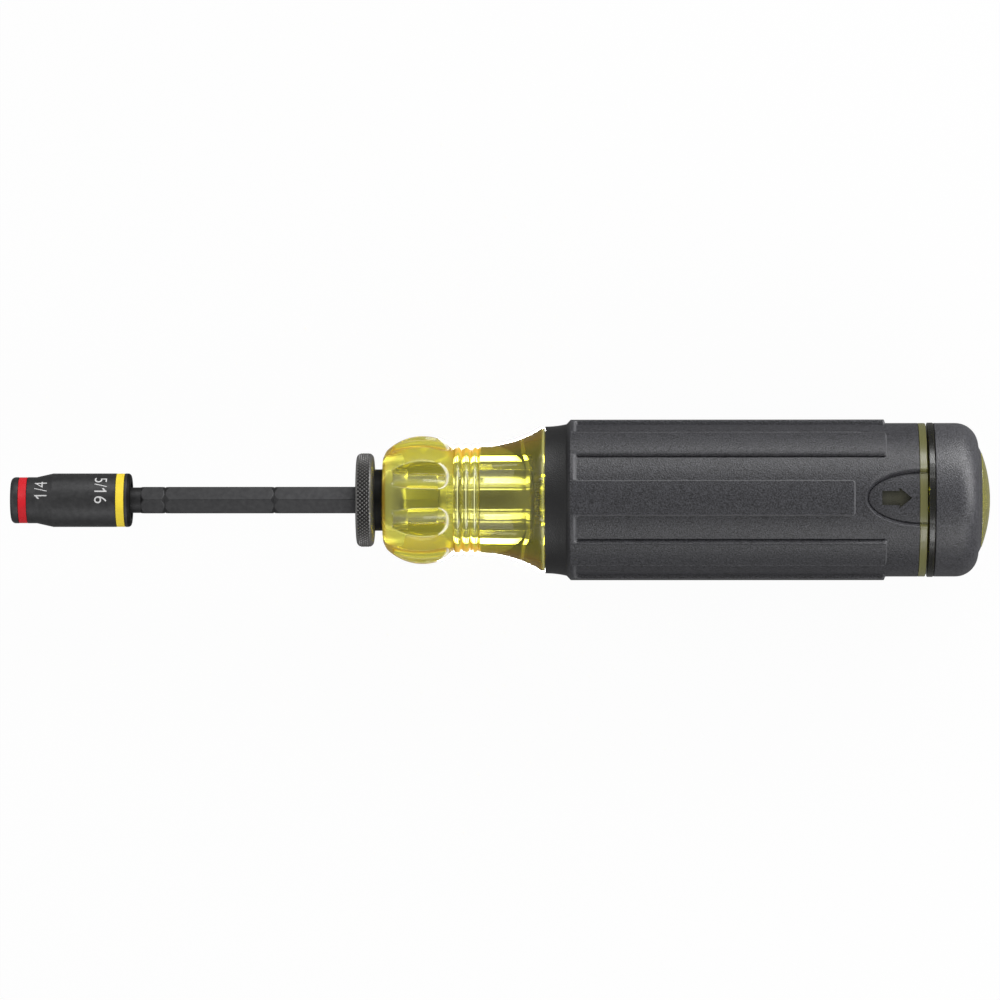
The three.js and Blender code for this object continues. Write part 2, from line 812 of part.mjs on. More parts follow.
const chuck = assembly(
  'chuck',
  piece('chuck_body', chuckBody(), steel),
  piece('lock_ball', lockBall(), steel),
  piece('collar_snap_ring', snapRing(), steel),
  piece('release_collar', releaseCollar(), black),
  piece('collar_spring', collarSpring(), steel),
);

const handle = assembly(
  'handle',
  piece('handle_core', handleCore(), acetate),
  piece('guide_tube', guideTube(), steel),
  piece('neck_sleeve', neckSleeve(), steel),
  piece('grip_sleeve', gripSleeve(), rubber),
  piece('detent_ball', detentBall(), steel),
  piece('detent_spring', detentSpring(), steel),
);

const cap = assembly(
  'cap',
  piece('cap_core', capCore(), acetate),
  piece('cap_grip', capGrip(), rubber),
  piece('cap_plug', capPlug(), acetate),
  piece('cap_washer', capWasher(), steel),
  piece('cap_screw', capScrew(), steel),
);
cap.position.x = capFront;

const storage = assembly('storage');
bitSet.forEach(([name, geometry], i) => {
  const holder = assembly(`${name}_place`, piece(name, geometry, steel));
  holder.children[0].position.set(rearFace - bitSetBack - bitLength / 2, 0, bitCircleRadius);
  holder.rotation.x = fullTurn * i / bitCount;
  storage.add(holder);
});

const tool = assembly('tool', drive, chuck, handle, cap, storage);
tool.position.set(-(socketFront + capFront + hubApex) / 2, 0, landRadius);

const group = assembly('multi_bit_screwdriver', tool);

export default group;
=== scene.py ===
"""Looks of the multi-bit screwdriver: dressed pieces, materials, light and camera.

Sizes are in millimetres, and places of lights and camera in metres. A station is a distance along the
tool from the handle's nose face, positive towards the cap, and an angle goes about the tool from +Y, so
that 90 degrees is straight up.
"""
import math
from collections import namedtuple
from functools import partial

import bmesh
import bpy
import numpy as np
from mathutils import Matrix, Vector

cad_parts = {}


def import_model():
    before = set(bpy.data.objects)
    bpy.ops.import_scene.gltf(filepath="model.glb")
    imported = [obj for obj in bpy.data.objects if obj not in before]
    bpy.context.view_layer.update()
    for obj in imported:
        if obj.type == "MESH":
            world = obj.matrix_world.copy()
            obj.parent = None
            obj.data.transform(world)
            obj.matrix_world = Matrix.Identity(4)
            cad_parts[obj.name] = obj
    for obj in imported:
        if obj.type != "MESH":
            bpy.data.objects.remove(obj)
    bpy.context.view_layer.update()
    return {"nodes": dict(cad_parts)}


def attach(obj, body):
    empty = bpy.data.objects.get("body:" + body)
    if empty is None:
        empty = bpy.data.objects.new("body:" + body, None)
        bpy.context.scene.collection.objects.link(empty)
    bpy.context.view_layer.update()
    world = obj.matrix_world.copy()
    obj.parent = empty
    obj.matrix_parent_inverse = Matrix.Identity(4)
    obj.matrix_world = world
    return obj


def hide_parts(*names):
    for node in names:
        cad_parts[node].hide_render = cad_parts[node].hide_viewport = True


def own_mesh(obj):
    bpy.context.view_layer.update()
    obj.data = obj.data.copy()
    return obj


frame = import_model()

# Frame
MM = 0.001
ORIGIN_STATION = 28.325
AXIS_HEIGHT = 19.47
AXIS = AXIS_HEIGHT * MM
TAU = 2 * math.pi
UP = math.pi / 2
SHARP_ANGLE = math.radians(38)
CUT_OVER = 1.0
SEAT_GAP = 0.1
SMALL_ROUND = 0.1
EDGE_ROUND = 0.2

# Hex shaft
SHAFT_FLATS = 6.35
SHAFT_CORNER = 3.64
HEX_FRONT = -58.8
HEX_REAR = 63.8
HEX_START_RADIUS = 3.15
HEX_CHAMFER = 0.75
HEX_SOFT = 0.04
LOCK_PITCH = 26.5
LOCKS_EACH_WAY = 2
GROOVE_FLOOR = 3.05
GROOVE_REACH = 1.3
GROOVE_SOFT = 0.05
GROOVE_FRONT_SLOPE = 0.74
GROOVE_REAR_SLOPE = 0.49
NECK_RADIUS = 3.1
TIP_FRONT = -79.5
TIP_FLATS = 4.9
TIP_BEVEL = 0.3
RING_STATION = -75.55
RING_GROOVE_HALF = 0.45
RING_GROOVE_FLOOR = 1.95

# Flip socket
SOCKET_FRONT = -90.4
SOCKET_REAR = -61.15
WEB_FRONT = -80.9
WEB_REAR = -70.65
SMALL_END = 5.6
LARGE_END = 6.5
TAPER_FRONT = -84.2
TAPER_FRONT_ROUND = 1.2
TAPER_REAR = -80.2
TAPER_REAR_ROUND = 0.5
FRONT_ROUND = 1.1
REAR_ROUND = 0.85
SMALL_HEX = 6.5
LARGE_HEX = 8.1
DRIVE_HEX = 5.1
RECESS_LEAD = 0.35
LEAD_STEP = 0.02
BAND_WIDTH = 2.15
BAND_DEPTH = 0.4
BAND_EDGE = 0.08
BAND_SINK = 0.03
RED_FRONT = -88.53
YELLOW_FRONT = -64.8

# Size marks, each as name, figures, middle station, height, length, distance about the socket from the
# top, and 1 where they read towards +Y or -1 where towards -Y
MARKS = (
    ("mark_quarter", "1/4", -82.9, 3.1, 4.6, 2.5, 1),
    ("mark_five_sixteenths", "5/16", -68.3, 3.0, 7.0, 2.6, -1),
)
MARK_PROUD = 0.03
MARK_BOLD = -0.008
MARK_CUTS = 3
FLAG_REACH = 0.24
FLAG_DROP = 0.16
FLAG_WIDTH = 0.11

# Release collar
COLLAR_FRONT = -6.45
COLLAR_RADIUS = 11.37
COLLAR_EDGE = 1.35
RIM_REAR = -2.35
COLLAR_REAR = -2.04
COLLAR_BORE = 5.35
COLLAR_RELIEF = 6.1
RELIEF_FRONT = -4.3
RELIEF_REAR = -0.2
COLLAR_POCKET = 6.3
POCKET_REAR = -5.3
SKIRT_RADIUS = 7.45
SKIRT_REAR = 1.7
SKIRT_ROUND = 0.25
KNURL_AROUND = 72
KNURL_PITCH = 1.05
KNURL_DEPTH = 0.34
KNURL_STEEP = 2.6
KNURL_FRONT = -6.2
KNURL_REAR = -2.9
KNURL_FADE = 0.35

# Handle core
NOSE_FACE = 10.1
NOSE_EDGE = 0.9
NOSE_BOW = 0.25
BULB_RADIUS = 15.5
BULB_STATION = 9.6
BULB_ARC = 12.5
FLUTES = 8
FLUTE_MIDDLE = 10.0
FLUTE_REACH = 7.5
FLUTE_REAR = 15.9
FLUTE_DEPTH = 1.8
FLUTE_HALF = math.radians(13.7)
FLUTE_TAPER = 13.5
FLUTE_POWER = 2.5
FLUTE_WALL = 0.4
FLUTE_CORNER = 3.2
RIB_START = 17.3
RIB_PITCH = 2.05
RIBS = 3
RIB_VALLEY = 12.7
RIB_HEIGHT = 0.55
RIB_POWER = 0.8
FLARE_START = RIB_START + RIBS * RIB_PITCH
FLARE_RADIUS = 13.25
LIP_STATION = 38.2
LIP_END = 39.3
LIP_RADIUS = 17.5
LIP_ROUND = 0.25
CORE_RADIUS = 16.75
COUNTERBORE = 7.75
COUNTERBORE_END = 6.5
MOUTH_BEVEL = 0.15
SHANK_FLATS = 9.0
SHANK_END = 12.5
TUNNEL = 4.25
TUNNEL_END = 118.2
TUBE_WALL = 0.35
SLEEVE_FRONT = 16.0
SLEEVE_REAR = 38.4
SLEEVE_RADIUS = 7.45
RIM_STATION = 129.5
RIM_RADIUS = 18.6
RIM_ROUND = 0.12
REAR_FACE = 131.3
REAR_MIDDLE = 2.0
BIT_CIRCLE = 11.6
BIT_BORE = 3.966
BIT_BORE_FRONT = 79.2
BITS = 6
PILOT_RADIUS = 1.6
PILOT_FRONT = 123.0
DETENT_CIRCLE = 5.8
DETENT_BORE = 1.1
DETENT_FRONT = 124.85

# Painted highlights on the core's edges
EDGE_REACH = 0.035
EDGE_SHARE = 0.5
CREST_SHARE = 0.6
CREST_WIDTH = 0.16
CREST_LOW = 0.75
CREST_HIGH = 0.9
LIP_SHARE = 0.3

# Chuck
BARREL_FRONT = -6.45
BARREL_RADIUS = 5.2
BARREL_END = 6.4
CHUCK_FLATS = 8.8
CHUCK_END = 12.4
CHUCK_BORE = 6.575
SNAP_FRONT = -6.0
SNAP_REAR = -5.35
SNAP_FLOOR = 4.9
BALL_HOLE = 1.1

# Rubber grip
GRIP_FRONT = 39.4
GRIP_REAR = 129.4
GRIP_BORE = 16.85
GRIP_FRONT_RADIUS = 17.8
GRIP_STEP = 44.5
GRIP_STEP_RADIUS = 18.4
BAND_START = 45.5
LAND_START = 46.6
LAND_END = 121.5
TOP_LAND_END = 113.8
LANDS = 8
LAND_RADIUS = 19.47
LAND_HALF = 3.95
TOP_LAND_HALF = 4.3
LAND_WALL = 0.22
LAND_CORNER = 0.7
LAND_LIP = 0.07
LAND_LIP_INSET = 0.28
LAND_LIP_WIDTH = 0.16
# Painted highlight along the lands' edges: its share and width
GRIP_HIGHLIGHT_SHARE = 0.42
GRIP_HIGHLIGHT_WIDTH = 0.15
SLIT_DEPTH = 0.35
SLIT_WIDTH = 0.17
FRONT_WALL_LEAN = 0.5
TAIL_RADIUS = 18.6
THUMB_OPEN = 129.7
THUMB_LENGTH = 13.0
THUMB_HALF = 6.7
THUMB_FLOOR = 17.7
THUMB_WALL = 0.22
THUMB_LIP = 0.16
THUMB_LIP_WIDTH = 0.35
THUMB_SLIT = 0.25
THUMB_SLIT_WIDTH = 0.18
THUMB_LEAST = 0.05
ARROW_TAIL = 120.4
ARROW_NECK = 124.5
ARROW_TIP = 127.6
ARROW_SHAFT = 3.4
ARROW_HEAD = 5.0

# Turning cap
CAP_FRONT = 131.7
CAP_RING_RADIUS = 18.7
CAP_RING_END = 133.2
CAP_CORE_RADIUS = 16.8
CAP_CORE_END = 141.5
CAP_GRIP_RADIUS = 18.6
CAP_CORNER = 5.5
CAP_CORNER_STATION = 138.6
HUB_RADIUS = 11.5
HUB_SHOULDER = 144.95
HUB_APEX = 147.05
HUB_EDGE = 0.6
DOME_RADIUS = 32.5
PLUG_RADIUS = 4.4
PLUG_FRONT = 144.15
PLUG_BORE = 4.5
PLUG_EDGE = 0.3
PLUG_MIDDLE = 0.2
SCREW_SEAT = 140.9
OUTLET_RADIUS = 4.066

# Springs, each as front, rear, radius of the coil, wire, turns and distance from the axis along Y
COLLAR_COIL = (
    SKIRT_REAR + SEAT_GAP, COUNTERBORE_END - SEAT_GAP, (BARREL_RADIUS + SKIRT_RADIUS) / 2, 0.8, 3, 0,
)
DETENT_COIL = (124.95, 130.15, 0.8, 0.3, 5, -DETENT_CIRCLE)

# Mesh fineness, with the nose's and the grip's spans of stations as from, to and step
ROUND_SIDES = 192
HEX_SIDES = 240
CORE_SIDES = 576
CUT_SIDES = 64
SHAFT_STEP = 6.0
SHAFT_END = 2.0
SHAFT_END_STEP = 0.15
GROOVE_STEP = 0.05
KNURL_STEPS = 12
KNURL_STEP = 0.06
ARC_STEPS = 8
DOME_STEPS = 10
COIL_STEPS = 48
WIRE_SIDES = 12
NOSE_SPANS = (
    (0.04, 1, 0.12), (1, 12, 0.25), (12, 16.6, 0.06), (16.6, RIB_START, 0.1),
    (RIB_START, FLARE_START + 0.4, 0.06), (FLARE_START + 0.4, LIP_STATION, 0.4),
)
GRIP_SPANS = (
    (GRIP_FRONT, GRIP_STEP - 0.3, 0.5), (GRIP_STEP - 0.3, LAND_START + 1.6, 0.08),
    (LAND_START + 1.6, TOP_LAND_END - 1.6, 2.0), (TOP_LAND_END - 1.6, GRIP_REAR, 0.14),
)
GRIP_COARSE = 0.4
GRIP_FINE = 0.07
GRIP_TOP_FINE = 0.11
WALL_LOW = LAND_HALF - 0.5
WALL_HIGH = TOP_LAND_HALF + 0.7


# Shapes

def spaced(*spans):
    """Stations through spans of (from, to, step), each span's end being the next one's start."""
    parts = [
        np.linspace(start, end, max(2, round(abs(end - start) / step) + 1)) for start, end, step in spans
    ]
    return np.concatenate([parts[0]] + [part[1:] for part in parts[1:]])


def smoothstep(low, high, value):
    t = np.clip((value - low) / (high - low), 0, 1)
    return t * t * (3 - 2 * t)


def smooth_min(a, b, width):
    h = np.clip(0.5 + 0.5 * (b - a) / width, 0, 1)
    return b + (a - b) * h - width * h * (1 - h)


def bell(value, width):
    return np.exp(-(value / width) ** 2)


def between(front, rear, fade, value):
    """1 between two values and 0 outside them, with a smooth fade inside each."""
    return smoothstep(front, front + fade, value) * smoothstep(rear, rear - fade, value)


def turns(count):
    return np.arange(count) * TAU / count


def hex_radius(flats, turn):
    """Radius of a hexagon with a corner straight up."""
    sector = TAU / 6
    return flats / 2 / np.cos((turn + sector / 2) % sector - sector / 2)


def unit(vector):
    return vector / np.linalg.norm(vector)


def rounded(corners):
    """Profile through corners of (station, radius, edge radius), each edge rounded by its radius."""
    points = []
    count = len(corners)
    for i, (station, radius, edge) in enumerate(corners):
        here = np.array([station, radius])
        if edge == 0 or i in (0, count - 1):
            points.append(here)
            continue
        before = unit(np.array(corners[i - 1][:2]) - here)
        after = unit(np.array(corners[i + 1][:2]) - here)
        half = math.acos(np.clip(before @ after, -1, 1)) / 2
        reach = edge / math.tan(half)
        centre = here + unit(before + after) * edge / math.sin(half)
        start = here + before * reach - centre
        end = here + after * reach - centre
        sweep = math.pi - 2 * half
        for t in np.linspace(0, 1, ARC_STEPS + 1):
            arm = start * math.sin((1 - t) * sweep) + end * math.sin(t * sweep)
            points.append(centre + arm / math.sin(sweep))
    return points


def place(points):
    """Points of (station, y, z) about the tool's axis, as metres in the frame."""
    return (np.asarray(points) - [ORIGIN_STATION, 0, -AXIS_HEIGHT]) * MM


def frame_x(station):
    """A station as metres along the frame's X."""
    return (station - ORIGIN_STATION) * MM


def about_axis(piece):
    """A piece's points as stations, y and z about the tool's axis."""
    points = np.empty(3 * len(piece.data.vertices))
    piece.data.vertices.foreach_get("co", points)
    return (points.reshape(-1, 3) / MM + [ORIGIN_STATION, 0, -AXIS_HEIGHT]).T


def note(piece, name, values):
    """Keeps a value for each of a piece's points, for its material to read."""
    piece.data.attributes.new(name, "FLOAT", "POINT").data.foreach_set("value", values)


def new_object(name, data):
    made = bpy.data.objects.new(name, data)
    bpy.context.collection.objects.link(made)
    return made


def evaluated_mesh(piece):
    return bpy.data.meshes.new_from_object(piece.evaluated_get(bpy.context.evaluated_depsgraph_get()))


def mesh_piece(name, points, faces, finish):
    mesh = bpy.data.meshes.new(name)
    mesh.from_pydata(place(points).tolist(), [], faces)
    mesh.materials.append(finish)
    mesh.shade_smooth()
    mesh.set_sharp_from_angle(angle=SHARP_ANGLE)
    return new_object(name, mesh)


def ring_faces(count, sides, loop=False):
    """Faces from each ring of points to the next, and in a loop from the last to the first."""
    faces = []
    for i in range(count if loop else count - 1):
        here = i * sides
        there = (i + 1) % count * sides
        for a in range(sides):
            b = (a + 1) % sides
            faces.append((here + a, here + b, there + b, there + a))
    return faces


def capped(name, points, sides, finish):
    """A piece through rings of points, with a flat face at each end."""
    first = tuple(reversed(range(sides)))
    last = tuple(range(len(points) - sides, len(points)))
    return mesh_piece(name, points, [first, last, *ring_faces(len(points) // sides, sides)], finish)


def skin(name, rings, finish, loop, turn=None):
    """A closed piece through rings of (station, radii), at even turns unless others are given. A looped
    one is bored, and any other is closed by a point on the axis at each end."""
    sides = len(rings[0][1])
    turn = turns(sides) if turn is None else turn
    points = np.concatenate([
        np.column_stack([np.full(sides, station), radii * np.cos(turn), radii * np.sin(turn)])
        for station, radii in rings
    ])
    faces = ring_faces(len(rings), sides, loop)
    if not loop:
        first = len(points)
        last = first - sides
        points = np.vstack([points, [rings[0][0], 0, 0], [rings[-1][0], 0, 0]])
        faces += [(first, (a + 1) % sides, a) for a in range(sides)]
        faces += [(first + 1, last + a, last + (a + 1) % sides) for a in range(sides)]
    return mesh_piece(name, points, faces, finish)


def round_rings(profile, sides):
    return [(station, np.full(sides, radius)) for station, radius in profile]


def turned(name, corners, finish, loop=True, sides=ROUND_SIDES):
    """A turned piece with rounded edges."""
    return skin(name, round_rings(rounded(corners), sides), finish, loop)


def cylinder(name, front, rear, radius, y=0, z=0):
    piece = turned(name, [(front, radius, 0), (rear, radius, 0)], None, loop=False, sides=CUT_SIDES)
    piece.data.transform(Matrix.Translation((0, y * MM, z * MM)))
    return piece


def cut(piece, *tools):
    """Takes the tools away from a piece, and removes them."""
    for tool in tools:
        change = piece.modifiers.new("cut", "BOOLEAN")
        change.operation = "DIFFERENCE"
        change.solver = "EXACT"
        change.object = tool
    mesh = evaluated_mesh(piece)
    mesh.name = piece.name
    piece.modifiers.clear()
    piece.data = mesh
    mesh.shade_smooth()
    mesh.set_sharp_from_angle(angle=SHARP_ANGLE)
    for tool in tools:
        bpy.data.objects.remove(tool)
    return piece


# Materials, with noises as ripples to the metre, detail and stretch, and bumps as metres and strength
KNURL_HEIGHT = "knurl_height"
CORE_HIGHLIGHT = "painted_core_highlight"
GRIP_HIGHLIGHT = "painted_grip_highlight"
NOISE_LOW = 0.3
NOISE_HIGH = 0.7
OXIDE_METAL = 0.75
OXIDE_MOTTLE = (900, 4)
OXIDE_SHINE = (2600, 2)
OXIDE_GRAIN = (5200, 2, (0.35, 1, 1))
OXIDE_BUMP = (0.00002, 0.25)
STEEL_MOTTLE = (700, 3)
STEEL_BRUSH = (3000, 2, (0.2, 1, 1))
RUBBER_GRAIN = (3000, 2)
RUBBER_SHINE = (260, 3)
RUBBER_BUMP = (0.00016, 0.7)
# Colour of the painted highlight on the lands' edges and ends
GRIP_HIGHLIGHT_COLOUR = (0.22, 0.22, 0.23)
# Painted shade on the grip's front band, which slopes away from the light
FRONT_BAND_SHADE = (0.009, 0.009, 0.0095)
PAINT_MOTTLE = (800, 3)
PAINT_SHINE = (1500, 2)
PAINT_ROUGH = (0.4, 0.52)
PAINT_SPECULAR = 0.3
ACETATE_IOR = 1.48
ACETATE_COLOUR = (0.94, 0.915, 0.09, 1)
ACETATE_DENSITY = 140
ACETATE_SHINE = (420, 2)
ACETATE_ROUGH = (0.02, 0.05)
BORE_ROUGH = 0.35
BORE_FADE = 1.0
CLOUD_ROUGH = 0.3
AMBER = (0.85, 0.5, 0.04)
AMBER_LOW = 0.36
AMBER_HIGH = 0.58
VEIL_LOW = 0.02
VEIL_HIGH = 0.28
VEIL_LIFT = 0.75
# Colour of the painted highlights on the core's edges
CORE_HIGHLIGHT_COLOUR = (0.92, 0.92, 0.86)
NOSE_CLOUD = (0.92, 0.9, 0.14)
# Painted shade for the acetate seen through the arrow, which lies in the thumb rest's shadow
ARROW_SHADE_CLOUD = (0.03, 0.029, 0.015)
RIM_CLOUD = (0.13, 0.126, 0.045)
CAP_RING_CLOUD = (0.008, 0.008, 0.006)
HUB_CLOUD = (0.66, 0.62, 0.14)

# Zones of the acetate, each with its share of cloudiness, what its amber adds to that, and its colour
ZONE_BLEND = 0.5
THUMB_ZONE = 117
Zone = namedtuple("Zone", "start share amber colour")
# The zone from THUMB_ZONE to the rim is darkened as painted shade under the arrow
CORE_ZONES = (
    Zone(0, 0.27, 0.08, NOSE_CLOUD), Zone(RIB_START, 0.2, 0.6, NOSE_CLOUD),
    Zone(FLARE_START, 0.07, 0.05, NOSE_CLOUD), Zone(THUMB_ZONE, 0.8, 0, ARROW_SHADE_CLOUD),
    Zone(RIM_STATION - ZONE_BLEND, 0.8, 0, RIM_CLOUD),
)
CAP_ZONES = (
    Zone(CAP_FRONT, 0.72, 0, CAP_RING_CLOUD), Zone(CAP_CORE_END - ZONE_BLEND, 0.35, 0, HUB_CLOUD),
)


def material(name):
    made = bpy.data.materials.new(name)
    made.use_nodes = True
    shader = made.node_tree.nodes["Principled BSDF"]
    return made, made.node_tree, shader


def put(tree, socket, value):
    """Gives an input a number or colour, or links it to another node's output."""
    if isinstance(value, bpy.types.NodeSocket):
        tree.links.new(value, socket)
    else:
        socket.default_value = value


def fill(tree, node, **values):
    """Gives a node's inputs their values. In their names, _ stands for a space."""
    for name, value in values.items():
        put(tree, node.inputs[name.replace("_", " ")], value)


def new_node(tree, kind, **values):
    node = tree.nodes.new("ShaderNode" + kind)
    fill(tree, node, **values)
    return node


def position(tree):
    return new_node(tree, "TexCoord").outputs["Object"]


def noise(tree, scale, detail, stretch=(1, 1, 1)):
    """Noise over the piece's own place, stretched along the tool where its grain runs that way."""
    mapping = new_node(tree, "Mapping", Vector=position(tree), Scale=stretch)
    texture = new_node(tree, "TexNoise", Vector=mapping.outputs["Vector"], Scale=scale, Detail=detail)
    return texture.outputs["Fac"]


def noted(tree, name):
    """A value kept for the piece's points, and 0 on a piece without it."""
    node = new_node(tree, "Attribute")
    node.attribute_name = name
    return node.outputs["Fac"]


def operate(kind, operation, tree, *values):
    """A node that works on its inputs in their order."""
    node = new_node(tree, kind)
    node.operation = operation
    for socket, value in zip(node.inputs, values):
        put(tree, socket, value)
    return node.outputs["Vector" if operation == "MULTIPLY_ADD" else "Value"]


plus = partial(operate, "Math", "ADD")
minus = partial(operate, "Math", "SUBTRACT")
times = partial(operate, "Math", "MULTIPLY")
larger = partial(operate, "Math", "MAXIMUM")


def blend(tree, factor, first, second):
    """Two colours mixed, each given as numbers or as another node's colour."""
    mix = new_node(tree, "Mix")
    mix.data_type = "RGBA"
    first, second = ((*colour, 1) if isinstance(colour, tuple) else colour for colour in (first, second))
    fill(tree, mix, Factor=factor, A=first, B=second)
    return mix.outputs["Result"]


def mix_shader(tree, share, first, second):
    mix = new_node(tree, "MixShader", Fac=share)
    put(tree, mix.inputs[1], first)
    put(tree, mix.inputs[2], second)
    return mix.outputs["Shader"]


def mapped(tree, value, low, high, interpolation="SMOOTHSTEP", onto=(0, 1)):
    """A value mapped from one range onto another."""
    node = new_node(tree, "MapRange", Value=value, From_Min=low, From_Max=high)
    fill(tree, node, To_Min=onto[0], To_Max=onto[1])
    node.interpolation_type = interpolation
    return node.outputs["Result"]


def spread(tree, value, low, high):
    """A noise value mapped onto a range."""
    return mapped(tree, value, NOISE_LOW, NOISE_HIGH, "LINEAR", (low, high))


def tint(tree, value, dark, light):
    return blend(tree, spread(tree, value, 0, 1), dark, light)


def bump(tree, shader, value, depth, strength):
    node = new_node(tree, "Bump", Height=value, Distance=depth, Strength=strength)
    fill(tree, shader, Normal=node.outputs["Normal"])


def along(tree, start, end):
    """A value that goes from 0 to 1 between two stations."""
    split = new_node(tree, "SeparateXYZ", Vector=position(tree))
    return mapped(tree, split.outputs["X"], frame_x(start), frame_x(end))


def inward(tree, outer, inner):
    """A value that goes from 0 to 1 between two radii, inwards."""
    from_axis = operate("VectorMath", "MULTIPLY_ADD", tree, position(tree), (0, 1, 1), (0, 0, -AXIS))
    radius = operate("VectorMath", "LENGTH", tree, from_axis)
    return mapped(tree, radius, outer * MM, inner * MM, "LINEAR")


def seen_along(tree, low, high):
    """A value that goes from 0 to 1 as a face is seen more and more along."""
    return mapped(tree, new_node(tree, "LayerWeight").outputs["Facing"], low, high)


def black_oxide(name, dark, light, *rough):
    made, tree, shader = material(name)
    colour = tint(tree, noise(tree, *OXIDE_MOTTLE), dark, light)
    shine = spread(tree, noise(tree, *OXIDE_SHINE), *rough)
    fill(tree, shader, Base_Color=colour, Metallic=OXIDE_METAL, Roughness=shine)
    bump(tree, shader, noise(tree, *OXIDE_GRAIN), *OXIDE_BUMP)
    return made


def oxide_with_painted_knurl_light(name, groove, point, *rough):
    """Black oxide that is lighter on the knurl's points, a painted highlight, and near black in its grooves,
    painted shade.
    """
    made, tree, shader = material(name)
    colour = blend(tree, noted(tree, KNURL_HEIGHT), groove, point)
    shine = spread(tree, noise(tree, *OXIDE_SHINE), *rough)
    fill(tree, shader, Base_Color=colour, Metallic=OXIDE_METAL, Roughness=shine)
    return made


def steel(name, dull, bright, *rough):
    made, tree, shader = material(name)
    colour = tint(tree, noise(tree, *STEEL_MOTTLE), (dull,) * 3, (bright,) * 3)
    brushed = spread(tree, noise(tree, *STEEL_BRUSH), *rough)
    fill(tree, shader, Base_Color=colour, Metallic=1, Roughness=brushed)
    return made


def rubber(name, dark, light, *rough):
    """Rubber with a fine grain, smoother and darker on the grip's front band, where the darkness is painted
    shade, and lighter on the lands' edges, which is a painted highlight."""
    made, tree, shader = material(name)
    grain = noise(tree, *RUBBER_GRAIN)
    grained = tint(tree, grain, dark, light)
    # The front band gets its painted shade
    colour = blend(tree, along(tree, GRIP_STEP, BAND_START), FRONT_BAND_SHADE, grained)
    # Painted highlight on the lands' edges and ends
    colour = blend(tree, noted(tree, GRIP_HIGHLIGHT), colour, GRIP_HIGHLIGHT_COLOUR)
    shine = spread(tree, noise(tree, *RUBBER_SHINE), *rough)
    fill(tree, shader, Base_Color=colour, Roughness=shine)
    bump(tree, shader, grain, *RUBBER_BUMP)
    return made


def paint(name, dark, light):
    made, tree, shader = material(name)
    colour = tint(tree, noise(tree, *PAINT_MOTTLE), dark, light)
    shine = spread(tree, noise(tree, *PAINT_SHINE), *PAINT_ROUGH)
    fill(tree, shader, Base_Color=colour, Roughness=shine, Specular_IOR_Level=PAINT_SPECULAR)
    return made


def by_zone(tree, zones):
    """The cloudiness, what amber adds to it, and its colour, each changing from zone to zone."""
    _, share, amber, colour = zones[0]
    for before, zone in zip(zones, zones[1:]):
        step = along(tree, zone.start, zone.start + ZONE_BLEND)
        share = plus(tree, share, times(tree, step, zone.share - before.share))
        amber = plus(tree, amber, times(tree, step, zone.amber - before.amber))
        colour = blend(tree, step, colour, zone.colour)
    return share, amber, colour


def acetate(name, zones):
    """Clear yellow plastic, cloudy by zones along the tool. It is amber where it is seen along, pale with
    painted highlights on its noted edges and darker with painted shade in the zone seen through the arrow,
    and its bores in the nose are rough."""
    made, tree, clear = material(name)
    inner = inward(tree, NOSE_FACE, NOSE_FACE - BORE_FADE)
    nose = along(tree, LIP_END, LIP_STATION)
    bores = times(tree, inner, along(tree, SLEEVE_FRONT, SHANK_END))
    shine = spread(tree, noise(tree, *ACETATE_SHINE), *ACETATE_ROUGH)
    rough = plus(tree, shine, times(tree, bores, BORE_ROUGH))
    fill(tree, clear, Base_Color=(1, 1, 1, 1), Transmission_Weight=1, IOR=ACETATE_IOR, Roughness=rough)
    # Painted highlights on the core's flute edges, rib crests and lip
    edge = noted(tree, CORE_HIGHLIGHT)
    amber = seen_along(tree, AMBER_LOW, AMBER_HIGH)
    share, added, colour = by_zone(tree, zones)
    colour = blend(tree, times(tree, amber, nose), colour, AMBER)
    colour = blend(tree, edge, colour, CORE_HIGHLIGHT_COLOUR)
    veil = times(tree, seen_along(tree, VEIL_HIGH, VEIL_LOW), times(tree, nose, VEIL_LIFT))
    share = plus(tree, times(tree, share, minus(tree, 1, veil)), times(tree, amber, added))
    share = minus(tree, share, times(tree, inner, nose))
    share = larger(tree, share, edge)
    cloudy = new_node(tree, "BsdfPrincipled", Base_Color=colour, Roughness=CLOUD_ROUGH, IOR=ACETATE_IOR)
    surface = mix_shader(tree, share, clear.outputs["BSDF"], cloudy.outputs["BSDF"])
    volume = new_node(tree, "VolumeAbsorption", Color=ACETATE_COLOUR, Density=ACETATE_DENSITY)
    fill(tree, tree.nodes["Material Output"], Surface=surface, Volume=volume.outputs["Volume"])
    return made


# Lit and shaded copies of one black oxide: the shaft's is darker as painted shade, the socket's lighter as
# painted light
SHADED_SHAFT_OXIDE = black_oxide("black_oxide_shaft_painted_shade", (0.046, 0.046, 0.048), (0.062, 0.062, 0.064), 0.38, 0.5)
LIT_SOCKET_OXIDE = black_oxide("black_oxide_socket_painted_light", (0.06, 0.06, 0.062), (0.082, 0.082, 0.084), 0.38, 0.5)
# Painted highlight on the knurl's points and painted shade in its grooves
COLLAR_OXIDE = oxide_with_painted_knurl_light("black_oxide_collar", (0.006, 0.006, 0.006), (0.25, 0.245, 0.24), 0.3, 0.42)
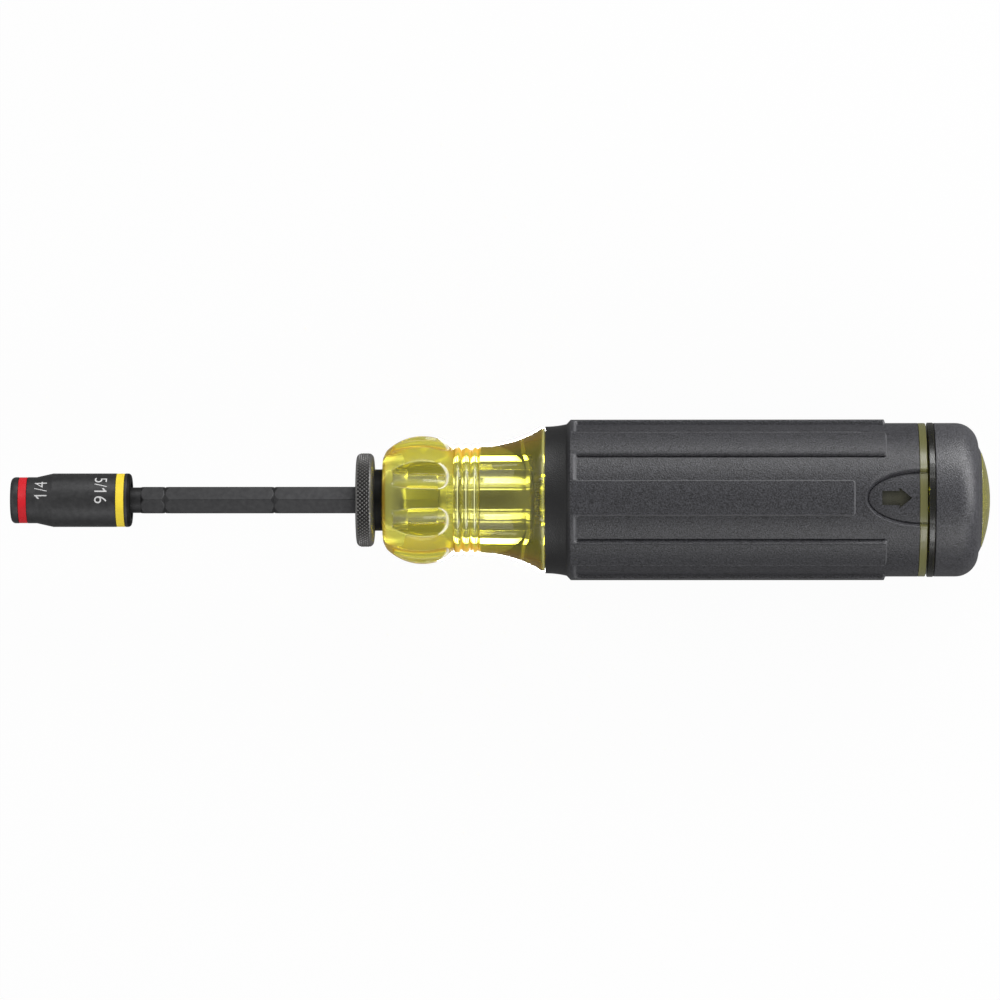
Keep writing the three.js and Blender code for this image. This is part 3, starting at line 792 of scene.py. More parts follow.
# A darker copy of the black oxide: painted shade on the socket's rear, the collar's skirt and the coils
SHADE_OXIDE = black_oxide("black_oxide_painted_shade", (0.01, 0.01, 0.01), (0.016, 0.016, 0.016), 0.5, 0.6)
STEEL = steel("plain_steel", 0.4, 0.5, 0.2, 0.34)
POLISHED = steel("polished_steel", 0.385, 0.435, 0.05, 0.1)
DULL = steel("dull_steel", 0.06, 0.1, 0.34, 0.46)
RUBBER = rubber("grey_rubber", (0.004, 0.004, 0.0045), (0.06, 0.06, 0.068), 0.38, 0.46)
CAP_RUBBER = rubber("grey_rubber_cap", (0.01, 0.01, 0.011), (0.072, 0.072, 0.081), 0.34, 0.4)
ACETATE = acetate("yellow_acetate", CORE_ZONES)
CAP_ACETATE = acetate("yellow_acetate_cap", CAP_ZONES)
RED = paint("red_band", (0.56, 0.006, 0.014), (0.66, 0.01, 0.02))
YELLOW = paint("yellow_band", (0.85, 0.64, 0.035), (0.93, 0.72, 0.05))
MARK = paint("light_mark", (0.72, 0.72, 0.72), (0.85, 0.85, 0.85))


# Pieces

def shaft_stations():
    """Stations along the hex, close together at its ends and at the lock grooves."""
    spans = []
    start = HEX_FRONT
    for number in range(-LOCKS_EACH_WAY, LOCKS_EACH_WAY + 1):
        front = number * LOCK_PITCH - GROOVE_REACH
        rear = number * LOCK_PITCH + GROOVE_REACH
        spans += [(start, front, SHAFT_STEP if spans else SHAFT_END_STEP), (front, rear, GROOVE_STEP)]
        start = rear
    rear = HEX_REAR - SHAFT_END
    return spaced(*spans, (start, rear, SHAFT_STEP), (rear, HEX_REAR, SHAFT_END_STEP))


def hex_shaft():
    turn = turns(HEX_SIDES)
    hexagon = np.minimum(hex_radius(SHAFT_FLATS, turn), SHAFT_CORNER)
    tip = hex_radius(TIP_FLATS, turn)
    neck = np.full(HEX_SIDES, NECK_RADIUS)
    ring_floor = np.full(HEX_SIDES, RING_GROOVE_FLOOR)
    ring_front = RING_STATION - RING_GROOVE_HALF
    ring_rear = RING_STATION + RING_GROOVE_HALF
    rings = [
        (TIP_FRONT, tip - TIP_BEVEL), (TIP_FRONT + TIP_BEVEL, tip),
        (ring_front, tip), (ring_front, ring_floor), (ring_rear, ring_floor), (ring_rear, tip),
        (WEB_REAR + SEAT_GAP, tip), (WEB_REAR + SEAT_GAP, neck), (HEX_FRONT, neck),
    ]
    for station in shaft_stations():
        nearest = round(np.clip(station / LOCK_PITCH, -LOCKS_EACH_WAY, LOCKS_EACH_WAY))
        from_lock = station - LOCK_PITCH * nearest
        groove = GROOVE_FLOOR + max(-GROOVE_FRONT_SLOPE * from_lock, GROOVE_REAR_SLOPE * from_lock)
        from_end = min(station - HEX_FRONT, HEX_REAR - station)
        end = HEX_START_RADIUS + from_end * (SHAFT_CORNER - HEX_START_RADIUS) / HEX_CHAMFER
        limit = min(smooth_min(groove, 2 * SHAFT_CORNER, GROOVE_SOFT), end)
        rings.append((station, smooth_min(hexagon, np.full(HEX_SIDES, limit), HEX_SOFT)))
    return skin("shaft", rings, SHADED_SHAFT_OXIDE, loop=False)


def paint_shade_behind(piece, station):
    """Gives the faces behind a station the darker oxide, as painted shade."""
    piece.data.materials.append(SHADE_OXIDE)
    for face in piece.data.polygons:
        if face.center.x > frame_x(station):
            face.material_index = 1


def band_groove(front, outer):
    """Corners of the groove that a band lies in."""
    rear = front + BAND_WIDTH
    inner = outer - BAND_DEPTH
    return [(front, outer, BAND_EDGE), (front, inner, 0), (rear, inner, 0), (rear, outer, BAND_EDGE)]


def lead_radius(flats):
    """Radius of a recess's lead-in at its mouth."""
    return flats / math.sqrt(3) + RECESS_LEAD / 2


def recess(mouth, web, flats, turn):
    """Rings of a hex recess from its mouth to the web."""
    inwards = math.copysign(RECESS_LEAD, web - mouth)
    hexagon = hex_radius(flats, turn)
    lead = lead_radius(flats)
    return [
        (mouth, np.maximum(hexagon, lead - LEAD_STEP)),
        (mouth + inwards, np.maximum(hexagon, lead - RECESS_LEAD)),
        (mouth + 2 * inwards, hexagon), (web, hexagon),
    ]


def flip_socket():
    turn = turns(HEX_SIDES)
    drive = hex_radius(DRIVE_HEX, turn)
    outside = rounded([
        (SOCKET_FRONT, lead_radius(SMALL_HEX), 0), (SOCKET_FRONT, SMALL_END, FRONT_ROUND),
        *band_groove(RED_FRONT, SMALL_END),
        (TAPER_FRONT, SMALL_END, TAPER_FRONT_ROUND), (TAPER_REAR, LARGE_END, TAPER_REAR_ROUND),
        *band_groove(YELLOW_FRONT, LARGE_END),
        (SOCKET_REAR, LARGE_END, REAR_ROUND), (SOCKET_REAR, lead_radius(LARGE_HEX), 0),
    ])
    socket = skin("socket", [
        *round_rings(outside, HEX_SIDES),
        *recess(SOCKET_REAR, WEB_REAR, LARGE_HEX, turn), (WEB_REAR, drive),
        (WEB_FRONT, drive), *reversed(recess(SOCKET_FRONT, WEB_FRONT, SMALL_HEX, turn)),
    ], LIT_SOCKET_OXIDE, loop=True)
    paint_shade_behind(socket, SOCKET_REAR - REAR_ROUND)
    return socket


def pipe(name, front, rear, inner, outer, finish, edge=SMALL_ROUND):
    corners = [(front, inner, 0), (front, outer, edge), (rear, outer, edge), (rear, inner, 0)]
    return turned(name, corners, finish)


def colour_band(name, front, outer, finish):
    """A band that lies in its groove in the socket, a little below the surface."""
    rear = front + BAND_WIDTH
    inner = outer - BAND_DEPTH + SEAT_GAP / 2
    return pipe(name, front + SEAT_GAP, rear - SEAT_GAP, inner, outer - BAND_SINK, finish, BAND_EDGE)


def knurl(station, turn):
    """Height of a diamond knurl, from 0 in its grooves to 1 on its points."""
    lengthwise = station / KNURL_PITCH
    about = turn * KNURL_AROUND / TAU
    first = np.abs((about + lengthwise) % 1 - 0.5)
    second = np.abs((about - lengthwise) % 1 - 0.5)
    return np.clip(KNURL_STEEP * (0.5 - np.maximum(first, second)), 0, 1)


def release_collar():
    sides = KNURL_AROUND * KNURL_STEPS
    turn = turns(sides)
    rim = np.array(rounded([
        (COLLAR_FRONT, COLLAR_POCKET, 0), (COLLAR_FRONT, COLLAR_RADIUS, COLLAR_EDGE),
        (RIM_REAR, COLLAR_RADIUS, COLLAR_EDGE), (COLLAR_REAR, SKIRT_RADIUS, 0),
    ]))[1:]
    inside = rounded([
        (COLLAR_REAR, SKIRT_RADIUS, 0),
        (SKIRT_REAR, SKIRT_RADIUS, SKIRT_ROUND), (SKIRT_REAR, COLLAR_BORE, SMALL_ROUND),
        (RELIEF_REAR, COLLAR_BORE, 0), (RELIEF_REAR, COLLAR_RELIEF, 0),
        (RELIEF_FRONT, COLLAR_RELIEF, 0), (RELIEF_FRONT, COLLAR_BORE, 0),
        (POCKET_REAR, COLLAR_BORE, 0), (POCKET_REAR, COLLAR_POCKET, 0), (COLLAR_FRONT, COLLAR_POCKET, 0),
    ])[1:]
    rings = []
    heights = []
    for station in spaced((COLLAR_FRONT, COLLAR_REAR, KNURL_STEP)):
        below = between(KNURL_FRONT, KNURL_REAR, KNURL_FADE, station) * (1 - knurl(station, turn))
        rings.append((station, np.interp(station, rim[:, 0], rim[:, 1]) - KNURL_DEPTH * below))
        heights.append(1 - below)
    rings += round_rings(inside, sides)
    heights += [np.ones(sides)] * len(inside)
    collar = skin("collar", rings, COLLAR_OXIDE, loop=True)
    note(collar, KNURL_HEIGHT, np.concatenate(heights))
    paint_shade_behind(collar, COLLAR_REAR)
    return collar


def chuck_body():
    turn = turns(HEX_SIDES)
    shank = hex_radius(CHUCK_FLATS, turn)
    bore = hex_radius(CHUCK_BORE, turn)
    barrel = round_rings([
        (BARREL_FRONT, BARREL_RADIUS - EDGE_ROUND), (BARREL_FRONT + EDGE_ROUND, BARREL_RADIUS),
        (SNAP_FRONT, BARREL_RADIUS), (SNAP_FRONT, SNAP_FLOOR),
        (SNAP_REAR, SNAP_FLOOR), (SNAP_REAR, BARREL_RADIUS), (BARREL_END, BARREL_RADIUS),
    ], HEX_SIDES)
    chuck = skin("chuck", [
        (BARREL_FRONT, bore), *barrel, (BARREL_END, np.minimum(shank, BARREL_RADIUS)),
        (CHUCK_END, shank), (CHUCK_END, bore),
    ], DULL, loop=True)
    drill = cylinder("ball_hole", 0, BARREL_RADIUS + CUT_OVER, BALL_HOLE)
    nose = Matrix.Translation((frame_x(0), 0, AXIS))
    drill.data.transform(nose @ Matrix.Rotation(UP, 4, "Z") @ nose.inverted())
    return cut(chuck, drill)


def guide_tube():
    outer = TUNNEL - SEAT_GAP
    return pipe("tube", CHUCK_END + 2 * SEAT_GAP, TUNNEL_END - SEAT_GAP, outer - TUBE_WALL, outer, STEEL)


def neck_sleeve():
    return pipe("sleeve", SLEEVE_FRONT, SLEEVE_REAR, TUNNEL, SLEEVE_RADIUS, POLISHED)


def bulb(station):
    return BULB_RADIUS - BULB_ARC + np.sqrt(BULB_ARC ** 2 - (station - BULB_STATION) ** 2)


def body_radius(station):
    """Radius of the core's nose, ribs and flare, before the flutes."""
    if station < NOSE_EDGE:
        t = station / NOSE_EDGE
        return NOSE_FACE + (bulb(NOSE_EDGE) - NOSE_FACE) * ((1 + NOSE_BOW) * t - NOSE_BOW * t * t)
    if station < RIB_START:
        return bulb(station)
    if station < FLARE_START:
        wave = abs(math.sin(math.pi * (station - RIB_START) / RIB_PITCH))
        return RIB_VALLEY + RIB_HEIGHT * wave ** RIB_POWER
    length = LIP_STATION - FLARE_START
    rise = LIP_RADIUS - FLARE_RADIUS
    bend = (length ** 2 + rise ** 2) / (2 * rise)
    return FLARE_RADIUS + bend - math.sqrt(bend ** 2 - (min(station, LIP_STATION) - FLARE_START) ** 2)


def from_flute(station, turn):
    """How far across the nearest flute a turn is, from 0 in its middle to 1 at its edge."""
    sector = TAU / FLUTES
    half = FLUTE_HALF * (1 - (np.minimum(station - FLUTE_MIDDLE, 0) / FLUTE_TAPER) ** 2)
    return np.abs(turn % sector - sector / 2) / half


def flute_end(across):
    """Station of a flute's end wall, which is round like the end of a U."""
    bow = (1 - np.minimum(across, 1) ** FLUTE_POWER) ** (1 / FLUTE_POWER)
    return FLUTE_REAR - FLUTE_CORNER * (1 - bow)


def nose_radius(station, turn):
    body = np.full(len(turn), body_radius(station))
    if abs(station - FLUTE_MIDDLE) > FLUTE_REACH:
        return body
    across = from_flute(station, turn)
    end = flute_end(across)
    depth = FLUTE_DEPTH * math.sqrt(1 - ((station - FLUTE_MIDDLE) / FLUTE_REACH) ** 2)
    depth *= 1 - np.minimum(across, 1) ** FLUTE_POWER
    return body - depth * smoothstep(end + FLUTE_WALL, end - FLUTE_WALL, station)


def painted_core_highlight(station, turn, rise):
    """How much painted highlight a point of the core gets: on a flute's edge or end wall, on a rib's crest
    that faces up, or on the lip's rear edge."""
    if station > LIP_END - FLUTE_WALL:
        return LIP_SHARE if station < LIP_END + SEAT_GAP else 0
    if station > FLARE_START or abs(station - FLUTE_MIDDLE) > FLUTE_REACH and station < RIB_START:
        return 0
    if station > RIB_START:
        from_crest = abs((station - RIB_START) / RIB_PITCH % 1 - 0.5) * RIB_PITCH
        return CREST_SHARE * bell(from_crest, CREST_WIDTH) * smoothstep(CREST_LOW, CREST_HIGH, rise)
    across = from_flute(station, turn)
    end = flute_end(across)
    wall = bell(station - end, FLUTE_WALL) * smoothstep(1, 1 - EDGE_REACH, across)
    edge = EDGE_SHARE * bell(across - 1, EDGE_REACH) * smoothstep(end + FLUTE_WALL, end, station)
    return max(wall, edge)


def note_painted_core_highlights(core):
    values = []
    for station, y, z in about_axis(core).T:
        radius = math.hypot(y, z)
        values.append(painted_core_highlight(station, math.atan2(z, y), z / radius) if radius > NOSE_FACE else 0)
    note(core, CORE_HIGHLIGHT, values)


def from_thumb_rest(station, across):
    """Distance outside the thumb rest's outline, about in millimetres and negative inside it."""
    lengthwise = np.minimum(station - THUMB_OPEN, 0) / THUMB_LENGTH
    reach = np.hypot(lengthwise, across / THUMB_HALF)
    scale = np.hypot(lengthwise / THUMB_LENGTH, across / THUMB_HALF ** 2) + np.finfo(np.float32).eps
    return (reach - 1) * np.maximum(reach, THUMB_LEAST) / scale


def thumb_cut(station, turn, radius):
    """Radius with the thumb rest pressed into the top of it."""
    outside = from_thumb_rest(station, radius * np.cos(turn))
    upper = np.sin(turn) > 0
    pressed = smoothstep(THUMB_WALL, -THUMB_WALL, outside) * upper
    lip = THUMB_LIP * bell(outside - THUMB_LIP_WIDTH, THUMB_LIP_WIDTH) * upper
    slit = THUMB_SLIT * bell(outside + THUMB_WALL, THUMB_SLIT_WIDTH) * upper
    return radius + lip + (np.minimum(THUMB_FLOOR, radius) - radius - lip) * pressed - slit


def bore_tools():
    """What is drilled from the core's rear face: the bits' bores, the screw's hole and the detent's."""
    rear = REAR_FACE + CUT_OVER
    tools = []
    for turn in UP - turns(BITS):
        y = BIT_CIRCLE * math.cos(turn)
        z = BIT_CIRCLE * math.sin(turn)
        tools.append(cylinder("bore", BIT_BORE_FRONT, rear, BIT_BORE, y, z))
    tools.append(cylinder("pilot", PILOT_FRONT, rear, PILOT_RADIUS))
    tools.append(cylinder("detent", DETENT_FRONT, rear, DETENT_BORE, -DETENT_CIRCLE))
    return tools


def handle_core():
    turn = turns(CORE_SIDES)
    shank = hex_radius(SHANK_FLATS, turn)
    sleeve_front = SLEEVE_FRONT - SEAT_GAP
    sleeve_rear = SLEEVE_REAR + SEAT_GAP
    sleeve_bore = SLEEVE_RADIUS + SEAT_GAP
    rings = round_rings([
        (TUNNEL_END, TUNNEL), (sleeve_rear, TUNNEL), (sleeve_rear, sleeve_bore),
        (sleeve_front, sleeve_bore), (sleeve_front, TUNNEL), (SHANK_END, TUNNEL),
    ], CORE_SIDES)
    rings += [(SHANK_END, shank), (COUNTERBORE_END, shank)]
    rings += round_rings([
        (COUNTERBORE_END, COUNTERBORE), (MOUTH_BEVEL, COUNTERBORE), (0, COUNTERBORE + MOUTH_BEVEL),
        (0, NOSE_FACE - MOUTH_BEVEL),
    ], CORE_SIDES)
    rings += [(station, nose_radius(station, turn)) for station in spaced(*NOSE_SPANS)]
    lip = rounded([
        (LIP_STATION, LIP_RADIUS, 0), (LIP_END, LIP_RADIUS, LIP_ROUND), (LIP_END, CORE_RADIUS, 0),
        (RIM_STATION, CORE_RADIUS, 0), (RIM_STATION, RIM_RADIUS, RIM_ROUND),
        (REAR_FACE, RIM_RADIUS, LIP_ROUND), (REAR_FACE, REAR_MIDDLE, 0),
    ])[1:]
    for station, radii in round_rings(lip, CORE_SIDES):
        rings.append((station, thumb_cut(station, turn, radii) if radii[0] > THUMB_FLOOR else radii))
    core = skin("core", rings, ACETATE, loop=False)
    cut(core, *bore_tools())
    note_painted_core_highlights(core)
    return core


def grip_turns():
    """Turns about the grip, close together at the lands' walls and over the thumb rest."""
    sector = TAU / LANDS
    half = sector / 2 * LAND_RADIUS
    plain = spaced(
        (-half, -WALL_HIGH, GRIP_COARSE), (-WALL_HIGH, -WALL_LOW, GRIP_FINE),
        (-WALL_LOW, WALL_LOW, GRIP_COARSE),
        (WALL_LOW, WALL_HIGH, GRIP_FINE), (WALL_HIGH, half, GRIP_COARSE),
    )
    top = spaced((-half, half, GRIP_TOP_FINE))
    parts = [(top if land == 0 else plain)[:-1] / LAND_RADIUS + UP + land * sector for land in range(LANDS)]
    return np.concatenate(parts)


def land_distance(station, turn):
    """Distances outside the nearest land and outside its sides, in millimetres and negative on it, with
    its end station and whether it is the top one."""
    sector = TAU / LANDS
    off = (turn - UP + sector / 2) % sector - sector / 2
    top = np.abs(turn - UP) < sector / 2
    end = np.where(top, TOP_LAND_END, LAND_END)
    from_side = np.abs(off) * LAND_RADIUS - np.where(top, TOP_LAND_HALF, LAND_HALF)
    side = from_side + LAND_CORNER
    rear = station - end + LAND_CORNER
    beyond = np.hypot(np.maximum(side, 0), np.maximum(rear, 0))
    land = beyond + np.minimum(np.maximum(side, rear), 0) - LAND_CORNER
    band = (station - LAND_START) * FRONT_WALL_LEAN
    return smooth_min(land, band, LAND_CORNER), from_side, end, top


def grip_radius(station, turn):
    if station < GRIP_STEP:
        t = (station - GRIP_FRONT) / (GRIP_STEP - GRIP_FRONT)
        return np.full(len(turn), GRIP_FRONT_RADIUS + (GRIP_STEP_RADIUS - GRIP_FRONT_RADIUS) * t * t)
    if station < BAND_START:
        t = (station - GRIP_STEP) / (BAND_START - GRIP_STEP)
        return np.full(len(turn), GRIP_STEP_RADIUS + (LAND_RADIUS - GRIP_STEP_RADIUS) * t)
    outside, from_side, end, top = land_distance(station, turn)
    raised = smoothstep(LAND_WALL, -LAND_WALL, outside)
    slit = SLIT_DEPTH * bell(from_side - LAND_WALL, SLIT_WIDTH) * ~top
    slit *= between(LAND_START, end, LAND_CORNER, station)
    lip = LAND_LIP * raised * bell(from_side + LAND_LIP_INSET, LAND_LIP_WIDTH)
    radius = TAIL_RADIUS + (LAND_RADIUS - TAIL_RADIUS) * raised + lip - slit
    return thumb_cut(station, turn, radius)


def note_painted_grip_highlights(grip):
    """Notes the top land's edges and the other lands' ends, where the rubber gets a painted highlight."""
    station, y, z = about_axis(grip)
    outside, from_side, end, top = land_distance(station, np.arctan2(z, y))
    kept = np.where(top, 1, 1 - between(LAND_START, end, LAND_CORNER, station))
    note(grip, GRIP_HIGHLIGHT, GRIP_HIGHLIGHT_SHARE * bell(outside, GRIP_HIGHLIGHT_WIDTH) * kept)


def arrow_tool():
    shaft = ARROW_SHAFT / 2
    head = ARROW_HEAD / 2
    outline = [
        (ARROW_TAIL, -shaft), (ARROW_NECK, -shaft), (ARROW_NECK, -head), (ARROW_TIP, 0),
        (ARROW_NECK, head), (ARROW_NECK, shaft), (ARROW_TAIL, shaft),
    ]
    points = [(station, y, z) for z in (TUNNEL, LAND_RADIUS + CUT_OVER) for station, y in outline]
    return capped("arrow", points, len(outline), None)


def grip_sleeve():
    turn = grip_turns()
    bore = np.full(len(turn), GRIP_BORE)
    rings = [(station, grip_radius(station, turn)) for station in spaced(*GRIP_SPANS)]
    grip = skin("grip", [(GRIP_FRONT, bore), *rings, (GRIP_REAR, bore)], RUBBER, True, turn)
    cut(grip, arrow_tool())
    note_painted_grip_highlights(grip)
    return grip


def dome(radius):
    return HUB_APEX - DOME_RADIUS + math.sqrt(DOME_RADIUS ** 2 - radius ** 2)


def dome_profile(outer, inner):
    return [(dome(radius), radius, 0) for radius in np.linspace(outer, inner, DOME_STEPS)]


def outlet_tool():
    return cylinder("outlet", CAP_FRONT - CUT_OVER, HUB_APEX + CUT_OVER, OUTLET_RADIUS, 0, -BIT_CIRCLE)


def cap_core():
    core = turned("cap_body", [
        (CAP_FRONT, PILOT_RADIUS, 0), (CAP_FRONT, CAP_RING_RADIUS, EDGE_ROUND),
        (CAP_RING_END, CAP_RING_RADIUS, EDGE_ROUND), (CAP_RING_END, CAP_CORE_RADIUS, 0),
        (CAP_CORE_END, CAP_CORE_RADIUS, EDGE_ROUND), (CAP_CORE_END, HUB_RADIUS, 0),
        (dome(HUB_RADIUS), HUB_RADIUS, EDGE_ROUND),
        *dome_profile(HUB_RADIUS - HUB_EDGE, PLUG_BORE),
        (SCREW_SEAT, PLUG_BORE, 0), (SCREW_SEAT, PILOT_RADIUS, 0),
    ], CAP_ACETATE)
    return cut(core, outlet_tool())


def cap_grip():
    inner = CAP_CORE_RADIUS + SEAT_GAP
    front = CAP_RING_END + SEAT_GAP
    mouth = HUB_RADIUS + SEAT_GAP
    corner = [
        (CAP_CORNER_STATION + CAP_CORNER * math.sin(lean),
         CAP_GRIP_RADIUS - CAP_CORNER + CAP_CORNER * math.cos(lean), 0)
        for lean in np.linspace(0, math.pi / 2, 2 * ARC_STEPS + 1)
    ]
    grip = turned("cap_rubber", [
        (front, inner, 0), (front, CAP_GRIP_RADIUS, EDGE_ROUND), *corner,
        (HUB_SHOULDER - SEAT_GAP, mouth, EDGE_ROUND), (CAP_CORE_END + SEAT_GAP, mouth, 0),
        (CAP_CORE_END + SEAT_GAP, inner, 0),
    ], CAP_RUBBER)
    return cut(grip, outlet_tool())


def cap_plug():
    return turned("cap_plug_dome", [
        (PLUG_FRONT, PLUG_RADIUS, 0), (dome(PLUG_RADIUS), PLUG_RADIUS, SMALL_ROUND),
        *dome_profile(PLUG_RADIUS - PLUG_EDGE, PLUG_MIDDLE),
    ], CAP_ACETATE, loop=False)


def coil(name, front, rear, radius, wire, count, y):
    """A round-wire spring along the tool."""
    steps = COIL_STEPS * count
    about = np.linspace(0, count * TAU, steps + 1)[:, None]
    station = np.linspace(front + wire / 2, rear - wire / 2, steps + 1)[:, None]
    section = -turns(WIRE_SIDES)
    reach = radius + wire / 2 * np.cos(section)
    points = np.stack([
        station + wire / 2 * np.sin(section), y + reach * np.sin(about), reach * np.cos(about),
    ], axis=-1).reshape(-1, 3)
    # The coil gets the darker oxide as painted shade
    return capped(name, points, WIRE_SIDES, SHADE_OXIDE)


def figures(text):
    """Flat figures as a mesh."""
    curve = bpy.data.curves.new("figures", "FONT")
    curve.body = text
    curve.offset = MARK_BOLD
    curve.extrude = MARK_PROUD
    source = new_object("figures", curve)
    mesh = evaluated_mesh(source)
    bpy.data.objects.remove(source)
    return mesh


def flag_ones(fine, text):
    """Gives each 1 the short flag at its top."""
    for i, figure in enumerate(text):
        if figure == "1":
            corner = np.array([vertex.co for vertex in figures(text[:i + 1]).vertices]).max(axis=0)
            foot = corner - [FLAG_REACH, FLAG_DROP, 0]
            outline = [corner, foot, foot - [0, FLAG_WIDTH, 0], corner - [0, FLAG_WIDTH, 0]]
            fine.faces.new([fine.verts.new(point) for point in outline])


def size_mark(name, text, middle, height, length, around, reading):
    """Figures bent round the socket."""
    mesh = figures(text)
    fine = bmesh.new()
    fine.from_mesh(mesh)
    flag_ones(fine, text)
    bmesh.ops.triangulate(fine, faces=fine.faces)
    bmesh.ops.subdivide_edges(fine, edges=fine.edges, cuts=MARK_CUTS, use_grid_fill=True)
    fine.to_mesh(mesh)
    fine.free()
    flat = np.array([vertex.co for vertex in mesh.vertices])
    low, high = flat.min(axis=0), flat.max(axis=0)
    centred = (flat - (low + high) / 2) / (high - low)
    station = middle - reading * centred[:, 1] * height
    radius = np.interp(station, [TAPER_FRONT, TAPER_REAR], [SMALL_END, LARGE_END])
    arc = (around + reading * centred[:, 0] * length) / radius
    lift = radius + 2 * MARK_PROUD * centred[:, 2]
    placed = place(np.column_stack([station, lift * np.sin(arc), lift * np.cos(arc)]))
    mesh.vertices.foreach_set("co", placed.ravel())
    mesh.materials.clear()
    mesh.materials.append(MARK)
    return new_object(name, mesh)


# Collections of pieces that have lights of their own
CLEAR = bpy.data.collections.new("clear_pieces")
PAINTED = bpy.data.collections.new("painted_pieces")
SOFT = bpy.data.collections.new("soft_pieces")
ROUND_CAP = bpy.data.collections.new("cap_pieces")
LIT_ALONE = {"yellow_acetate": CLEAR, "red_band": PAINTED, "yellow_band": PAINTED, "grey_rubber": SOFT}


def dress(piece, body, slot, *nodes):
    if nodes:
        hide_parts(*nodes)
    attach(piece, body)
    if slot in LIT_ALONE:
        LIT_ALONE[slot].objects.link(piece)


def dress_spring(name, node, measures):
    """A coil spring, dressed on the handle with a mesh of its own."""
    spring = coil(name, *measures)
    dress(spring, "handle", "bright_steel", node)
    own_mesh(spring)


dress(hex_shaft(), "shaft", "black_oxide_steel", "hex_shaft")
dress(flip_socket(), "socket", "black_oxide_steel", "flip_socket")
dress(colour_band("band_red", RED_FRONT, SMALL_END, RED), "socket", "red_band", "socket_band_red")
yellow_band = colour_band("band_yellow", YELLOW_FRONT, LARGE_END, YELLOW)
dress(yellow_band, "socket", "yellow_band", "socket_band_yellow")
for mark in MARKS:
    dress(size_mark(*mark), "socket", "black_oxide_steel")
dress(release_collar(), "collar", "black_oxide_steel", "release_collar")
dress(chuck_body(), "handle", "bright_steel", "chuck_body")
dress(guide_tube(), "handle", "bright_steel", "guide_tube")
dress_spring("collar_coil", "collar_spring", COLLAR_COIL)
dress_spring("detent_coil", "detent_spring", DETENT_COIL)
dress(neck_sleeve(), "handle", "bright_steel", "neck_sleeve")
dress(handle_core(), "handle", "yellow_acetate", "handle_core")
dress(grip_sleeve(), "handle", "grey_rubber", "grip_sleeve")
dress(cap_core(), "cap", "yellow_acetate", "cap_core")
cap_rubber = cap_grip()
dress(cap_rubber, "cap", "grey_rubber", "cap_grip")
ROUND_CAP.objects.link(cap_rubber)
dress(cap_plug(), "cap", "yellow_acetate", "cap_plug")

STEEL_NODES = (
    "socket_retaining_ring", "lock_ball", "collar_snap_ring", "detent_ball", "cap_washer", "cap_screw",
    "bit_cross_large", "bit_slotted", "bit_square", "bit_cross_small", "bit_star_small", "bit_star_large",
)
for node in STEEL_NODES:
    for slot in frame["nodes"][node].material_slots:
        slot.material = STEEL


# Stage: the floor, with how it is seen straight, through and mirrored, and the room's light by height
FLOOR_HALF = 3.0
FLOOR_COLOUR = (0.85, 0.85, 0.85, 1)
FLOOR_SEEN = (0.96, 0.78, 0.2)
ROOM_LEVELS = ((0, 0.4), (0.3, 0.6), (0.6, 0.7), (0.85, 0.4), (1, 0.25))
ROOM_LEAN = (-0.3, 0.02, 0)

# Soft boxes, each as name, place, aim, width, height, power and the only pieces that it lights
BOXES = (
    ("box_far", (0.35, 0.53, 0.3), (0.3, 0, AXIS), 0.7, 0.2, 3.1, None),
    ("box_near", (0.35, -0.49, 0.36), (0.3, 0, AXIS), 0.7, 0.2, 1.7, None),
    ("box_right", (0.7, 0.22, 0.28), (0.05, 0, AXIS), 0.6, 0.25, 4, SOFT),
    ("box_cap", (0.35, 0.6, 0.16), (0.11, 0, AXIS), 0.3, 0.25, 1.2, ROUND_CAP),
)
BAND_BOX = ("band_light", (-0.25, 0.2, 0.45), (-0.1, 0, AXIS), 0.3, 0.3, 0.7, PAINTED)

# Lights on both sides for the clear pieces: strips as name, distance to the side, height above the floor,
# width across the strip and power, and a card below the neck that shines straight up
STRIP_X = 0.03
STRIP_LENGTH = 0.8
STRIPS = (
    ("wide", 0.476, 0.39, 0.26, 0.9), ("low", 0.58, 0.175, 0.06, 0.3), ("high", 0.327, 0.522, 0.05, 0.4),
)
CARD_PLACE = (0.008, 0.0165, 0.0005)
CARD_SIZE = (0.044, 0.015)
CARD_POWER = 0.022
CARD_FAN = 115

# Camera
CAMERA_PLACE = (0.034, -0.0416, AXIS + 1.65)
CAMERA_AIM = (0, 0, AXIS)
LENS = 244.9
SENSOR = 36
CLIP_END = 10


def seen_light(tree):
    """How far the floor glows where it is seen straight or through the clear pieces, and how brightly, which
    is less where the tool mirrors it."""
    straight, through, mirrored = FLOOR_SEEN
    path = new_node(tree, "LightPath").outputs
    mirror_ray = path["Is Glossy Ray"]
    through_ray = path["Is Transmission Ray"]
    seen = plus(tree, times(tree, path["Is Camera Ray"], straight), times(tree, through_ray, through))
    share = larger(tree, seen, mirror_ray)
    level = minus(tree, 1, times(tree, mirror_ray, 1 - mirrored))
    return share, level


def floor():
    mesh = bpy.data.meshes.new("floor")
    corners = [(x * FLOOR_HALF, y * FLOOR_HALF, 0) for x, y in ((-1, -1), (1, -1), (1, 1), (-1, 1))]
    mesh.from_pydata(corners, [], [(0, 1, 2, 3)])
    made, tree, shader = material("white_floor")
    tree.nodes.remove(shader)
    share, level = seen_light(tree)
    matt = new_node(tree, "BsdfDiffuse", Color=FLOOR_COLOUR)
    glow = new_node(tree, "Emission", Strength=level)
    surface = mix_shader(tree, share, matt.outputs["BSDF"], glow.outputs["Emission"])
    fill(tree, tree.nodes["Material Output"], Surface=surface)
    mesh.materials.append(made)
    new_object("floor", mesh)


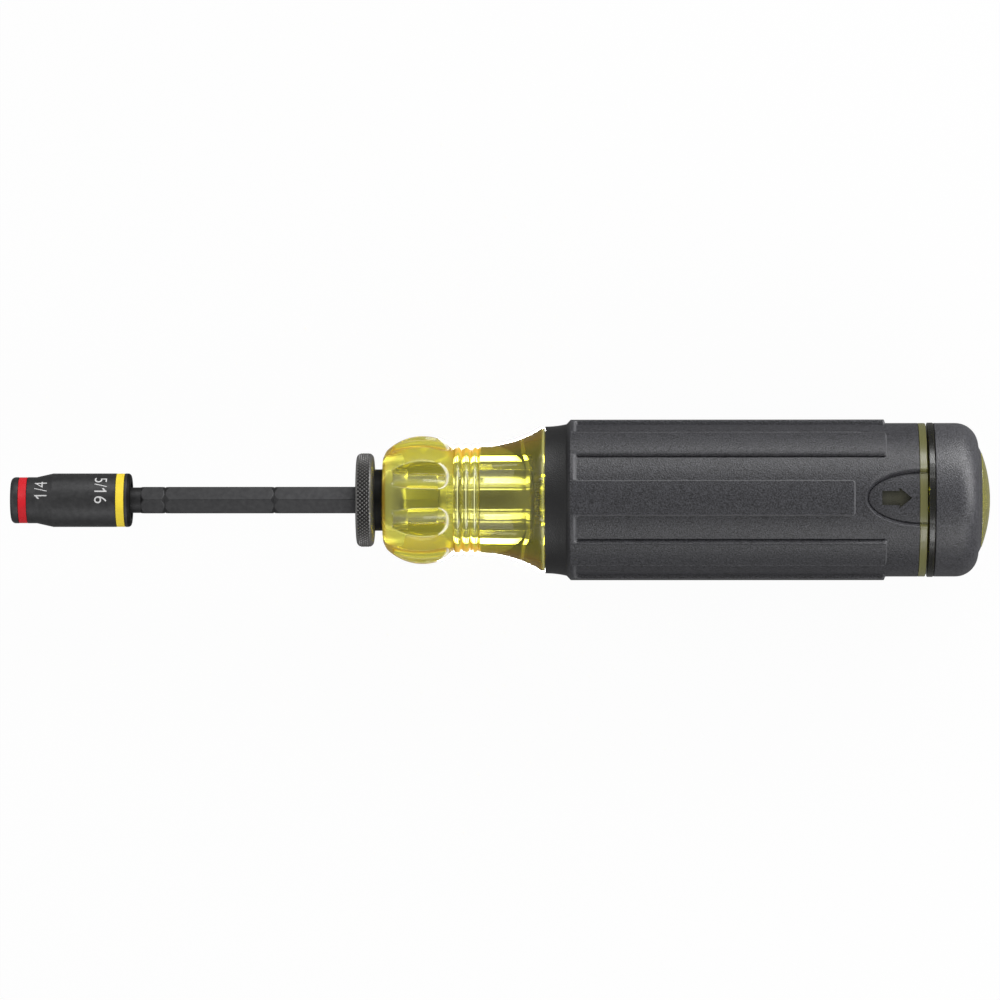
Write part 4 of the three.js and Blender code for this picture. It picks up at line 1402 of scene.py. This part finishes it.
def area_light(name, place_at, aim, width, height, power, only, fan=180):
    """A soft box. One with a collection in only lights just its pieces. fan is the angle it fans out to."""
    data = bpy.data.lights.new(name, "AREA")
    data.shape = "RECTANGLE"
    data.size = width
    data.size_y = height
    data.energy = power
    data.spread = math.radians(fan)
    lamp = new_object(name, data)
    lamp.location = place_at
    lamp.rotation_euler = (Vector(aim) - Vector(place_at)).to_track_quat("-Z", "Y").to_euler()
    lamp.visible_camera = False
    if only:
        lamp.light_linking.receiver_collection = only


def lights():
    for box in BOXES:
        area_light(*box)
    for side, end in ((1, "far"), (-1, "near")):
        for name, away, height, width, power in STRIPS:
            place_at = (STRIP_X, side * away, height)
            area_light(f"{name}_{end}", place_at, (STRIP_X, 0, AXIS), STRIP_LENGTH, width, power, CLEAR)
        x, away, height = CARD_PLACE
        card = (x, side * away, height)
        area_light(f"card_{end}", card, (x, side * away, 1), *CARD_SIZE, CARD_POWER, CLEAR, CARD_FAN)
    area_light(*BAND_BOX)


def world():
    """A room whose brightness goes by height, from the horizon to straight up, and leans to one side."""
    made = bpy.data.worlds.new("white_room")
    made.use_nodes = True
    tree = made.node_tree
    direction = new_node(tree, "TexCoord").outputs["Generated"]
    split = new_node(tree, "SeparateXYZ", Vector=direction)
    ramp = new_node(tree, "ValToRGB", Fac=split.outputs["Z"])
    stops = ramp.color_ramp.elements
    for height, level in ROOM_LEVELS:
        stop = stops[0] if height == 0 else stops[-1] if height == 1 else stops.new(height)
        stop.color = (level, level, level, 1)
    level = plus(tree, operate("VectorMath", "DOT_PRODUCT", tree, direction, ROOM_LEAN), 1)
    fill(tree, tree.nodes["Background"], Color=ramp.outputs["Color"], Strength=level)
    bpy.context.scene.world = made


def camera():
    data = bpy.data.cameras.new("camera")
    data.sensor_width = SENSOR
    data.lens = LENS
    data.clip_end = CLIP_END
    viewer = new_object("camera", data)
    viewer.location = CAMERA_PLACE
    back = (Vector(CAMERA_PLACE) - Vector(CAMERA_AIM)).normalized()
    right = Vector((0, 1, 0)).cross(back).normalized()
    upward = back.cross(right)
    viewer.rotation_euler = Matrix((right, upward, back)).transposed().to_euler()
    bpy.context.scene.camera = viewer


floor()
world()
lights()
camera()

bpy.context.scene.view_settings.view_transform = "Standard"
